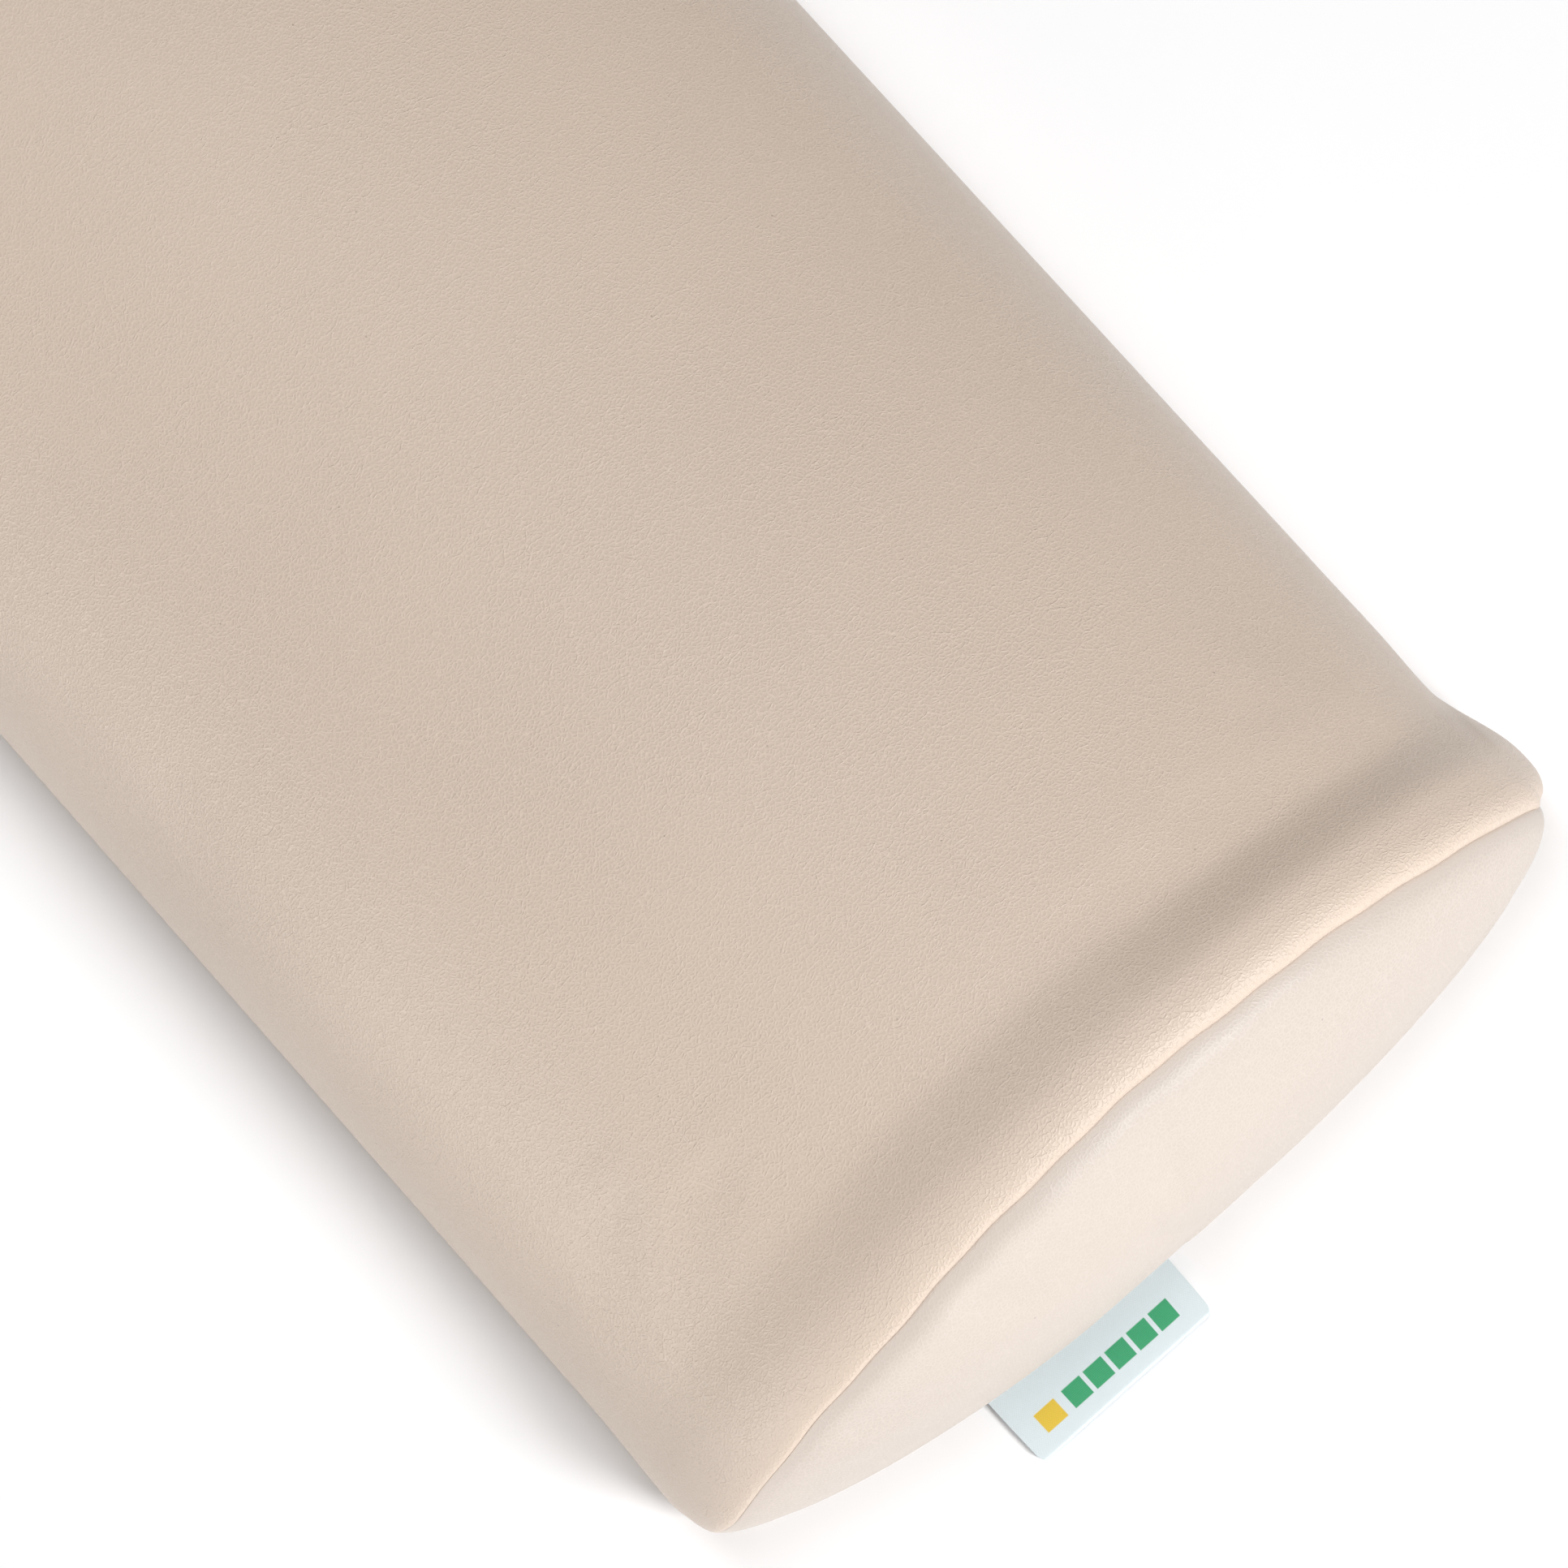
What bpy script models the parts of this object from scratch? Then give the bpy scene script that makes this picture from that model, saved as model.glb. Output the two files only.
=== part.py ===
"""Arched lumbar cushion: a zipped leatherette cover over a one-piece foam core.

Metres, +Z up. X runs along the cushion, with the labelled end at +X, and Y across it, with the zip on the +Y
side of the base. The origin is the centre of the flat base, on the surface that the cushion rests on.
"""

import math

import bmesh
import bpy
import numpy as np
from mathutils import Matrix

# The cushion's outer shape
LENGTH = 0.400  # between the two end seams
WIDTH = 0.200
HEIGHT = 0.080
EDGE_RADIUS = 0.014  # rounding of the long edges beside the base
ARCH_POWER = 2.15  # 2 is a half ellipse, more fills out the shoulders
END_BULGE = 0.022  # how far the end panels dome out past their seams
CROWN_HEIGHT = 0.034  # the dome's peak, above the base

# Cover
COVER = 0.0012  # leatherette with its knitted backing
RIM_ROLL = 0.0015  # the wrap turns in by this much at the end seam
RIM_SETBACK = 0.0015  # the end panel's fold lies this far inside the wrap's edge
VALLEY_DEPTH = 0.0025  # hollow behind the stiff rim
VALLEY_PLACE = 0.016  # its lowest line, from the end seam
VALLEY_SPREAD = 0.009
SEAM_ALLOWANCE = 0.009  # the end panel's edge, turned in along the wrap
SEAM_GAP = 0.0012  # room for the stitching between the wrap and the turned-in edge
THREAD = 0.0005
SEAM_THREAD_INSET = 0.0045  # the stitch line, from the wrap's edge
CLEAR = 0.0003  # between pieces that touch
FOAM_GAP = 0.0006

# Recess in the base, which keeps the zip's slider off the surface below
RECESS_MARGIN = 0.014  # flat strip between the recess and the rounded long edge
RECESS_DEPTH = 0.008
RECESS_LEDGE = 0.011  # half width of the recess's floor
RECESS_HALF = 0.022  # half width of the recess at the base
RECESS_END = 0.018  # from the end seam to where the recess starts
RECESS_RUN = 0.014  # length over which it reaches its full depth
ZIP_OPENING = 0.012  # between the wrap's two folded edges
BUTT_GAP = 0.0005  # between the same edges past the zip's ends

# Zip
TAPE_END = 0.003  # from the recess's full depth to the tapes' ends
TAPE_WIDTH = 0.0145
TAPE_THICK = 0.0006
BARE_TAPE = 0.015  # past each end of the coils
COIL_WIDTH = 0.0026
COIL_HEIGHT = 0.0024
CHAIN_GAP = 0.0010  # between the two coils, for the slider's neck
STOP_LENGTH = 0.003
THREAD_FROM_EDGE = 0.0025

# Slider and puller
SLIDER_LENGTH = 0.012
SLIDER_WIDTH = 0.0095
SLIDER_PLATE = 0.0010
SLIDER_REST = 0.0010  # from the slider to the coils' ends at both limits
NECK_THICK = 0.0006
NECK_LENGTH = 0.0025
FLANGE = 0.0008
BAIL_WIDTH = 0.0016
BAIL_THICK = 0.0012
BAIL_OPENING = 0.0040
PULLER_LENGTH = 0.024
PULLER_WIDTH = 0.0076
PULLER_NEAR_WIDTH = 0.0058
PULLER_THICK = 0.0012
PULLER_CORNER = 0.0015
EYE_LENGTH = 0.0046
EYE_CORNER = 0.0004
EYE_SIDE = 0.0004  # from the eye to the bail

# Label
LABEL_WIDTH = 0.042
LABEL_LENGTH = 0.028  # proud of the end seam
LABEL_Y = -0.025
RIBBON = 0.0004
LABEL_LOOP = 0.0012  # height of the fold, over both layers

# Fineness of the curves
ARCH_POINTS = 31
CORNER_POINTS = 5
BASE_POINTS = 9
RAMP_POINTS = 6
DOME_RINGS = 6

# Worked out from the sizes above
END_X = LENGTH / 2
ZIP_Y = WIDTH / 2 - EDGE_RADIUS - RECESS_MARGIN - RECESS_HALF
RIM_INSET = RIM_ROLL + COVER
PANEL_INSET = RIM_INSET + SEAM_GAP
PANEL_FOLD = END_X - RIM_SETBACK
LABEL_Z = RIM_INSET + SEAM_GAP / 2
RECESS_FULL = END_X - RECESS_END - RECESS_RUN
TAPE_HALF = RECESS_FULL - TAPE_END
CHAIN_HALF = TAPE_HALF - BARE_TAPE
TAPE_LOW = RECESS_DEPTH + COVER + CLEAR
TAPE_OUTER = CHAIN_GAP / 2 + TAPE_WIDTH
COIL_LOW = TAPE_LOW - CLEAR - COIL_HEIGHT
FACE_LOW = COIL_LOW - CLEAR - SLIDER_PLATE
BACK_LOW = TAPE_LOW + TAPE_THICK + CLEAR
PIN_Z = FACE_LOW - CLEAR - PULLER_THICK / 2
BAIL_LOW = PIN_Z - PULLER_THICK / 2 - CLEAR - BAIL_THICK
SLIDER_X = SLIDER_REST + SLIDER_LENGTH / 2 - CHAIN_HALF


def srgb(red, green, blue):
    """A linear colour from its display values."""
    return [((c / 255 + 0.055) / 1.055) ** 2.4 for c in (red, green, blue)]


def material(name, colour, roughness, metallic=0.0):
    made = bpy.data.materials.new(name)
    made.use_nodes = True
    shader = made.node_tree.nodes["Principled BSDF"]
    shader.inputs["Base Color"].default_value = (*colour, 1)
    shader.inputs["Roughness"].default_value = roughness
    shader.inputs["Metallic"].default_value = metallic
    return made


def add_object(name, data, collection, finish):
    made = bpy.data.objects.new(name, data)
    collection.objects.link(made)
    data.materials.append(finish)
    if made.type == "MESH":
        data.shade_smooth()
        data.set_sharp_from_angle(angle=math.radians(35))
    return made


def add_cutter(mesh, cutters):
    made = bpy.data.objects.new(mesh.name, mesh)
    cutters.objects.link(made)
    made.hide_render = True
    made.display_type = "WIRE"
    return made


def boolean(target, other, operation):
    cut = target.modifiers.new(other.name, "BOOLEAN")
    cut.operation = operation
    cut.object = other


def solidify(made, thickness, offset=-1):
    shell = made.modifiers.new("Thickness", "SOLIDIFY")
    shell.thickness = thickness
    shell.offset = offset
    shell.use_even_offset = True


def round_edges(made, width):
    bevel = made.modifiers.new("Edges", "BEVEL")
    bevel.width = width
    bevel.segments = 2
    bevel.limit_method = "ANGLE"


def smooth_step(share):
    share = np.clip(share, 0, 1)
    return share * share * (3 - 2 * share)


def at_x(x, outline):
    """The (y, z) outline as (x, y, z) points at one x."""
    return np.column_stack([np.full(len(outline), x), outline])


def arch(inset):
    """(y, z) from the +Y corner over the arch to the -Y corner: two round corners and half a superellipse."""
    half = WIDTH / 2 - inset
    radius = EDGE_RADIUS - inset
    turn = np.linspace(-math.pi / 2, 0, CORNER_POINTS)[:-1]
    corner = np.column_stack([half - radius + radius * np.cos(turn), EDGE_RADIUS + radius * np.sin(turn)])
    sweep = np.linspace(0, math.pi, ARCH_POINTS)
    power = 2 / ARCH_POWER
    across = half * np.sign(np.cos(sweep)) * np.abs(np.cos(sweep)) ** power
    above = EDGE_RADIUS + (HEIGHT - inset - EDGE_RADIUS) * np.sin(sweep).clip(0) ** power
    return np.concatenate([corner, np.column_stack([across, above]), corner[::-1] * (-1, 1)])


def ring(inset):
    """The whole closed section, this far inside the cover's outer face."""
    over = arch(inset)
    base = np.linspace(over[-1, 0], over[0, 0], BASE_POINTS)[1:-1]
    return np.concatenate([over, np.column_stack([base, np.full(len(base), inset)])])


def wrap_section(depth, gap):
    """The wrap's section, from its +Y edge at the zip round to its -Y edge, with the recess this deep."""
    share = np.linspace(0, 1, RAMP_POINTS)
    across = np.concatenate([[gap / 2], RECESS_LEDGE + (RECESS_HALF - RECESS_LEDGE) * share])
    height = np.concatenate([[depth], depth * (1 - smooth_step(share))])
    rear = np.column_stack([ZIP_Y + across, height])
    front = np.column_stack([ZIP_Y - across, height])[::-1]
    base = np.linspace(EDGE_RADIUS - WIDTH / 2, ZIP_Y - RECESS_HALF, BASE_POINTS)[1:-1]
    return np.concatenate([rear, arch(0), np.column_stack([base, np.zeros(len(base))]), front])


def rim_offset(from_end, height):
    """How far the wrap stands off its plain section: rolled in at its edge, then a hollow that fades at the base."""
    roll = RIM_ROLL * (1 - smooth_step(from_end / (2 * RIM_ROLL)))
    valley = VALLEY_DEPTH * math.exp(-(((from_end - VALLEY_PLACE) / VALLEY_SPREAD) ** 2))
    return -roll - valley * smooth_step(height / EDGE_RADIUS - 0.5)


def lofted(name, rings, closed, tips=()):
    """A mesh through rings of (x, y, z) points, whose end rings may close onto tips, with its faces outwards."""
    count = len(rings[0])
    faces = [
        (r * count + i, (r + 1) * count + i, (r + 1) * count + (i + 1) % count, r * count + (i + 1) % count)
        for r in range(len(rings) - 1)
        for i in range(count if closed else count - 1)
    ]
    mesh = bpy.data.meshes.new(name)
    mesh.from_pydata(np.concatenate(rings).tolist(), [], faces)
    work = bmesh.new()
    work.from_mesh(mesh)
    for tip in tips:
        side = math.copysign(1, tip[0])
        furthest = max(point.co.x * side for point in work.verts)
        rim = [e for e in work.edges if e.is_boundary and min(v.co.x * side for v in e.verts) > furthest - CLEAR]
        peak = work.verts.new(tip)
        for edge in rim:
            work.faces.new((*edge.verts, peak))
    bmesh.ops.recalc_face_normals(work, faces=work.faces)
    work.to_mesh(mesh)
    work.free()
    return mesh


def block(name, x, y, z):
    """A box mesh between two values on each axis."""
    spans = (x, y, z)
    middle = [(low + high) / 2 for low, high in spans]
    size = [high - low for low, high in spans]
    work = bmesh.new()
    bmesh.ops.create_cube(work, size=1, matrix=Matrix.LocRotScale(middle, None, size))
    mesh = bpy.data.meshes.new(name)
    work.to_mesh(mesh)
    work.free()
    return mesh


def poly_line(curve, points, cyclic):
    spline = curve.splines.new("POLY")
    spline.points.add(len(points) - 1)
    for place, point in zip(spline.points, points):
        place.co = (*point, 1)
    spline.use_cyclic_u = cyclic


def make_wrap(collection, finish):
    """The one panel that goes over the arch and under the base, up to both sides of the zip."""
    closed_at = END_X - TAPE_HALF + TAPE_END
    open_at = END_X - CHAIN_HALF - STOP_LENGTH - TAPE_END
    rim = np.linspace(0, 2 * RIM_ROLL, 4)
    hollow = VALLEY_PLACE + VALLEY_SPREAD * np.linspace(-1, 1, 3)
    slope = RECESS_END + RECESS_RUN * np.linspace(0, 1, 5)
    ends = np.unique(np.round(np.concatenate([rim, hollow, slope, [closed_at, open_at]]), 5))
    rings = []
    for x in np.concatenate([ends - END_X, (END_X - ends)[::-1]]):
        from_end = END_X - abs(x)
        depth = RECESS_DEPTH * smooth_step((from_end - RECESS_END) / RECESS_RUN)
        opened = smooth_step((from_end - closed_at) / (open_at - closed_at))
        outline = wrap_section(depth, BUTT_GAP + (ZIP_OPENING - BUTT_GAP) * opened)
        outward = outline - (0, EDGE_RADIUS)
        outward[outline[:, 1] < EDGE_RADIUS / 2, 0] = 0
        outward /= np.linalg.norm(outward, axis=1)[:, None]
        offset = rim_offset(from_end, np.where(outline[:, 1] <= depth, 0, outline[:, 1]))
        rings.append(at_x(x, outline + outward * offset[:, None]))
    wrap = add_object("cover_wrap", lofted("cover_wrap", rings, False), collection, finish)
    solidify(wrap, COVER)


def dome(side, inset, start, height):
    """Rings from an end's edge towards its crown, each a smaller copy of the edge, and the crown's own place."""
    edge = ring(inset)
    centre = np.array([0, CROWN_HEIGHT])
    shares = np.cos(np.linspace(0, math.pi / 2, DOME_RINGS + 1))[:-1]
    rings = [at_x(side * (start + height * (1 - s * s) ** 0.55), centre + (edge - centre) * s) for s in shares]
    return rings, (side * (start + height), *centre)


def make_end_panel(name, side, collection, finish):
    """A domed panel whose edge is turned in beside the wrap's."""
    rings, tip = dome(side, PANEL_INSET, PANEL_FOLD, END_BULGE + RIM_SETBACK)
    allowance = at_x(side * (PANEL_FOLD - SEAM_ALLOWANCE), ring(PANEL_INSET))
    panel = add_object(name, lofted(name, [allowance, *rings], True, [tip]), collection, finish)
    solidify(panel, COVER)


def make_foam(collection, cutters, finish):
    """The foam block, drawn in where the panels' edges turn in, with a groove that clears the zip's recess."""
    end_inset = PANEL_INSET + COVER + FOAM_GAP
    start = PANEL_FOLD - COVER - FOAM_GAP
    drawn_in = PANEL_FOLD - SEAM_ALLOWANCE - FOAM_GAP
    left, left_tip = dome(-1, end_inset, start, END_BULGE)
    right, right_tip = dome(1, end_inset, start, END_BULGE)
    body = ring(VALLEY_DEPTH + COVER + FOAM_GAP)
    middle = [
        at_x(-drawn_in, ring(end_inset)),
        at_x(2 * FOAM_GAP - drawn_in, body),
        at_x(drawn_in - 2 * FOAM_GAP, body),
        at_x(drawn_in, ring(end_inset)),
    ]
    mesh = lofted("foam_core", [*left[::-1], *middle, *right], True, [left_tip, right_tip])
    foam = add_object("foam_core", mesh, collection, finish)

    half = RECESS_FULL + RECESS_RUN + 4 * COVER
    low = RECESS_HALF + COVER + 2 * FOAM_GAP
    high = TAPE_OUTER + 2 * FOAM_GAP
    top = BACK_LOW + SLIDER_PLATE + FOAM_GAP
    section = np.array([(ZIP_Y - low, -COVER), (ZIP_Y + low, -COVER), (ZIP_Y + high, top), (ZIP_Y - high, top)])
    tips = [(side * (half + COVER), ZIP_Y, top / 2) for side in (-1, 1)]
    groove = lofted("zip_groove", [at_x(-half, section), at_x(half, section)], True, tips)
    boolean(foam, add_cutter(groove, cutters), "DIFFERENCE")


def make_thread(name, points, cyclic, collection, finish):
    """A thin tube that runs straight from point to point."""
    curve = bpy.data.curves.new(name, "CURVE")
    curve.dimensions = "3D"
    curve.bevel_depth = THREAD / 2
    curve.bevel_resolution = 1
    curve.use_fill_caps = not cyclic
    poly_line(curve, points, cyclic)
    add_object(name, curve, collection, finish)


def make_zip_side(name, side, collection, finishes):
    """One side of the zip: its tape, its coil, its top stop and the stitching that holds it to the wrap."""

    def across(near, far):
        return sorted((ZIP_Y + side * near, ZIP_Y + side * far))

    tape_y = across(CHAIN_GAP / 2, TAPE_OUTER)
    tape = block(f"zip_tape_{name}", (-TAPE_HALF, TAPE_HALF), tape_y, (TAPE_LOW, TAPE_LOW + TAPE_THICK))
    add_object(tape.name, tape, collection, finishes["tape"])

    coil_y = across(CHAIN_GAP / 2, CHAIN_GAP / 2 + COIL_WIDTH)
    coil_z = (COIL_LOW, COIL_LOW + COIL_HEIGHT)
    coil = block(f"zip_coil_{name}", (-CHAIN_HALF, CHAIN_HALF), coil_y, coil_z)
    round_edges(add_object(coil.name, coil, collection, finishes["coil"]), COIL_HEIGHT / 4)

    stop_end = -CHAIN_HALF - CLEAR
    stop = block(f"zip_top_stop_{name}", (stop_end - STOP_LENGTH, stop_end), coil_y, coil_z)
    round_edges(add_object(stop.name, stop, collection, finishes["metal"]), COIL_HEIGHT / 5)

    y = ZIP_Y + side * (ZIP_OPENING / 2 + THREAD_FROM_EDGE)
    z = RECESS_DEPTH - CLEAR - THREAD / 2
    line = [(-TAPE_HALF, y, z), (TAPE_HALF, y, z)]
    make_thread(f"zip_seam_thread_{name}", line, False, collection, finishes["thread"])


def make_bottom_stop(collection, finish):
    half = CHAIN_GAP / 2 + COIL_WIDTH
    start = CHAIN_HALF + CLEAR
    spans = ((start, start + STOP_LENGTH), (ZIP_Y - half, ZIP_Y + half), (COIL_LOW, COIL_LOW + COIL_HEIGHT))
    stop = block("zip_bottom_stop", *spans)
    round_edges(add_object(stop.name, stop, collection, finish), COIL_HEIGHT / 5)


def make_slider(collection, cutters, finish):
    """Two plates joined by a neck between the coils, with side flanges and a bail for the puller."""
    length = (-SLIDER_LENGTH / 2, SLIDER_LENGTH / 2)
    wide = SLIDER_WIDTH / 2
    leg = BAIL_OPENING / 2 + BAIL_THICK
    bail = (-BAIL_WIDTH / 2, BAIL_WIDTH / 2)
    into_face = FACE_LOW + SLIDER_PLATE / 2
    into_back = BACK_LOW + SLIDER_PLATE / 2
    flange_z = (into_face, TAPE_LOW - CLEAR)
    leg_z = (BAIL_LOW, into_face)
    blocks = {
        "back_plate": (length, (-wide, wide), (BACK_LOW, BACK_LOW + SLIDER_PLATE)),
        "neck": ((length[0], length[0] + NECK_LENGTH), (-NECK_THICK / 2, NECK_THICK / 2), (into_face, into_back)),
        "rear_flange": (length, (wide - FLANGE, wide), flange_z),
        "front_flange": (length, (-wide, FLANGE - wide), flange_z),
        "bail_leg_right": ((BAIL_OPENING / 2, leg), bail, leg_z),
        "bail_leg_left": ((-leg, -BAIL_OPENING / 2), bail, leg_z),
        "bail_bar": ((-leg, leg), bail, (BAIL_LOW, BAIL_LOW + BAIL_THICK)),
    }
    place = (SLIDER_X, ZIP_Y, 0)
    face_plate = block("zip_slider", length, (-wide, wide), (FACE_LOW, FACE_LOW + SLIDER_PLATE))
    slider = add_object("zip_slider", face_plate, collection, finish)
    slider.location = place
    for name, spans in blocks.items():
        other = add_cutter(block(f"slider_{name}", *spans), cutters)
        other.location = place
        boolean(slider, other, "UNION")


def rounded_outline(start, end, near_width, far_width, radius):
    """(x, y, z) round a flat bar with rounded corners, which widens from its near end to its far one."""
    near = near_width / 2 - radius
    far = far_width / 2 - radius
    centres = ((start + radius, -near), (end - radius, -far), (end - radius, far), (start + radius, near))
    points = []
    for index, (x, y) in enumerate(centres):
        turn = math.pi + index * math.pi / 2 + np.linspace(0, math.pi / 2, CORNER_POINTS)
        points.extend((x + radius * math.cos(t), y + radius * math.sin(t), 0) for t in turn)
    return points


def make_puller(collection, finish):
    """A flat tab whose eye goes round the slider's bail; its origin is on the line that it swings about."""
    eye_start = PULLER_THICK / 2
    eye_width = BAIL_WIDTH + 2 * EYE_SIDE
    curve = bpy.data.curves.new("zip_puller", "CURVE")
    curve.dimensions = "2D"
    curve.fill_mode = "BOTH"
    curve.extrude = PULLER_THICK / 2
    tab = rounded_outline(-eye_start, PULLER_LENGTH - eye_start, PULLER_NEAR_WIDTH, PULLER_WIDTH, PULLER_CORNER)
    poly_line(curve, tab, True)
    poly_line(curve, rounded_outline(eye_start, eye_start + EYE_LENGTH, eye_width, eye_width, EYE_CORNER), True)
    puller = add_object("zip_puller", curve, collection, finish)
    puller.location = (SLIDER_X, ZIP_Y, PIN_Z)


def make_label(collection, finish):
    """A ribbon folded in half, which comes out of the end seam: a U seen from its side."""
    middle = (LABEL_LOOP - RIBBON) / 2
    start = END_X + CLEAR
    bend = END_X + LABEL_LENGTH - LABEL_LOOP / 2
    turn = np.linspace(-math.pi / 2, math.pi / 2, 7)
    side_x = np.concatenate([[start], bend + middle * np.cos(turn), [start]])
    side_z = LABEL_Z + middle * np.concatenate([[-1], np.sin(turn), [1]])
    edges = [
        np.column_stack([side_x, np.full(len(side_x), LABEL_Y + half), side_z])
        for half in (-LABEL_WIDTH / 2, LABEL_WIDTH / 2)
    ]
    label = add_object("loop_label", lofted("loop_label", edges, False), collection, finish)
    solidify(label, RIBBON, 0)


def main():
    for made in list(bpy.data.objects):
        bpy.data.objects.remove(made)
    collection = bpy.data.collections.new("lumbar_cushion")
    cutters = bpy.data.collections.new("cutters")
    for group in (collection, cutters):
        bpy.context.scene.collection.children.link(group)

    leatherette = material("leatherette", srgb(214, 198, 180), 0.5)
    foam = material("foam", srgb(226, 218, 196), 0.95)
    satin = material("label_ribbon", srgb(222, 230, 231), 0.45)
    finishes = {
        "tape": material("zip_tape", srgb(206, 190, 170), 0.85),
        "coil": material("zip_coil", srgb(214, 200, 182), 0.4),
        "metal": material("zip_metal", srgb(176, 174, 170), 0.3, 1.0),
        "thread": material("thread", srgb(222, 206, 188), 0.7),
    }

    make_wrap(collection, leatherette)
    make_foam(collection, cutters, foam)
    for name, side in (("right", 1), ("left", -1)):
        make_end_panel(f"end_panel_{name}", side, collection, leatherette)
        line = at_x(side * (END_X - SEAM_THREAD_INSET), ring(RIM_INSET + SEAM_GAP / 2))
        make_thread(f"end_seam_thread_{name}", line, True, collection, finishes["thread"])
    for name, side in (("rear", 1), ("front", -1)):
        make_zip_side(name, side, collection, finishes)
    make_bottom_stop(collection, finishes["metal"])
    make_slider(collection, cutters, finishes["metal"])
    make_puller(collection, finishes["metal"])
    make_label(collection, satin)


main()
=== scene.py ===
"""Looks of an arched lumbar cushion: a zipped leatherette cover over a one-piece foam core.

Metres, +Z up. X runs along the cushion, with the labelled end at +X, and Y across it, with the zip on the +Y
side of the base.
"""

import math

import bpy
import numpy as np
from bpy.props import FloatProperty, FloatVectorProperty, IntProperty, PointerProperty
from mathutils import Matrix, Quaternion, Vector


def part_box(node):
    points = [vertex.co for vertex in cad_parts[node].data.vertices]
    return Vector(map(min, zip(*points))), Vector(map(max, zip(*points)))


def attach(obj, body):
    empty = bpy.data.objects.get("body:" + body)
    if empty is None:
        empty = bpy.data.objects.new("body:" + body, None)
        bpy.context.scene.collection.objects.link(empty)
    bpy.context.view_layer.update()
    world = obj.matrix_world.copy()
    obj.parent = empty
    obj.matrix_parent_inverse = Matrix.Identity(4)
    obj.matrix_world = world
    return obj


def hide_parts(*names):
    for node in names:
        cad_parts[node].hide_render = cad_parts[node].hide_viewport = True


bl_info = {
    "name": "Lumbar cushion",
    "version": (1, 0, 0),
    "blender": (4, 5, 0),
    "location": "3D View > Sidebar > Cushion",
    "description": "Builds the cover, foam, zip and label of an arched lumbar cushion",
    "category": "Object",
}

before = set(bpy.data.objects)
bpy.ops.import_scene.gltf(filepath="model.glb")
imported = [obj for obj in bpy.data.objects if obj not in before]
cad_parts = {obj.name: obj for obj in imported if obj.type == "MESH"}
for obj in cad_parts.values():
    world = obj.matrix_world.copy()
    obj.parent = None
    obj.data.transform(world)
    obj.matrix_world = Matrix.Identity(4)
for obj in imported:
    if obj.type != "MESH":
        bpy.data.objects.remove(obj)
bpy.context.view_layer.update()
WRAP_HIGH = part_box("cover_wrap")[1]
FOAM_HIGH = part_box("foam_core")[1]
TAPE_LOW, TAPE_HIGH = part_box("zip_tape_rear")
FRONT_TAPE_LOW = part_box("zip_tape_front")[0]
COIL_LOW, COIL_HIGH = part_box("zip_coil_rear")
LABEL_LOW, LABEL_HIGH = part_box("loop_label")
SEAM_THREAD_LOW, SEAM_THREAD_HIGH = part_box("end_seam_thread_right")
END_X, HALF_WIDTH, HEIGHT = WRAP_HIGH
ZIP_Y = (TAPE_HIGH.y + FRONT_TAPE_LOW.y) / 2
BODY = "cushion"
FINISH = "cushion_"

# Over the arch, by turns in degrees: how far the rim stands out, and where and how long the slope up to it is
RISE_TURNS = (-5, 12, 45, 90, 135, 165, 185)
RISES = (0.0041, 0.0043, 0.0051, 0.0038, 0.0024, 0.0012, 0.0004)
SLOPE_TURNS = (-5, 8, 32, 60, 90, 185)
SLOPE_MIDDLES = (0.0185, 0.0185, 0.0168, 0.0160, 0.0164, 0.016)
SLOPE_RUNS = (0.022, 0.020, 0.0140, 0.0148, 0.0185, 0.024)
RIM_FADE = 0.013  # height over which the rim's rise fades to nothing at the base

# The end seam across the cushion: how far it bows, as a quartic, and how round its two lower corners are
BOW = (-0.0052, 0.0019, 0.0082, -0.0020, 0.0001)
FRONT_CORNER = 0.0074
REAR_CORNER = 0.0018

# Distances from the end at which the rows of the cover's points change their spacing
LEVEL_ENDS = 0.062
SLOPE_STARTS = 0.040

# The end panels: where they touch the lip, how blunt their dome is by turns in degrees, and their puckers
LIP_CONTACT = math.radians(97)
DOME_TURNS = (0, 60, 120, 180)
DOME_POWERS = (0.51, 0.55, 0.55, 0.74)
PUCKER = 0.0009

# The simulation: its frames, its random start, and the freedom under which a point is held
FRAMES = 20
UNEVENNESS = 0.00025
HELD_BELOW = 0.05

# The zip's slider and puller: half sizes of the neck and of the bail's bar, half the bail's span, and the
# rounding of the puller's edges
NECK = (0.00125, 0.0003)
BAIL_BAR = (0.0006, 0.0008)
BAIL_REACH = 0.0026
PULLER_EDGE = 0.00028

# The label: how far it goes into the seam, its height there and how far it droops, and its curl and waves
LABEL_ROOT = 0.0016
LABEL_LEVEL = 0.0020
LABEL_DROOP = 0.0007
LABEL_CURL = 0.0005
LABEL_WAVE = 0.00012

# Each light's name, place and size
LIGHTS = (
    ("key", (1.45, 0.44, 1.15), 0.55),
    ("low", (1.66, -0.22, 0.29), 0.5),
    ("side", (0.0, -1.58, 0.26), 0.4),
    ("rear", (-1.4, 0.0, 0.9), 0.6),
    ("top", (0.0, 0.1, 1.9), 0.8),
)


# Sizes and colours that a user may change


def length(name, description, default, most=0.5):
    """A property in metres."""
    return FloatProperty(name=name, description=description, default=default, min=0, max=most, unit="LENGTH")


def colour(name, description, red, green, blue):
    """A colour property whose default is given in display values."""
    linear = [((c / 255 + 0.055) / 1.055) ** 2.4 for c in (red, green, blue)]
    return FloatVectorProperty(name=name, description=description, default=linear, min=0, max=1, subtype="COLOR")


def factor(name, description, default, most=1.0):
    """A property without a unit."""
    return FloatProperty(name=name, description=description, default=default, min=0, max=most)


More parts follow.
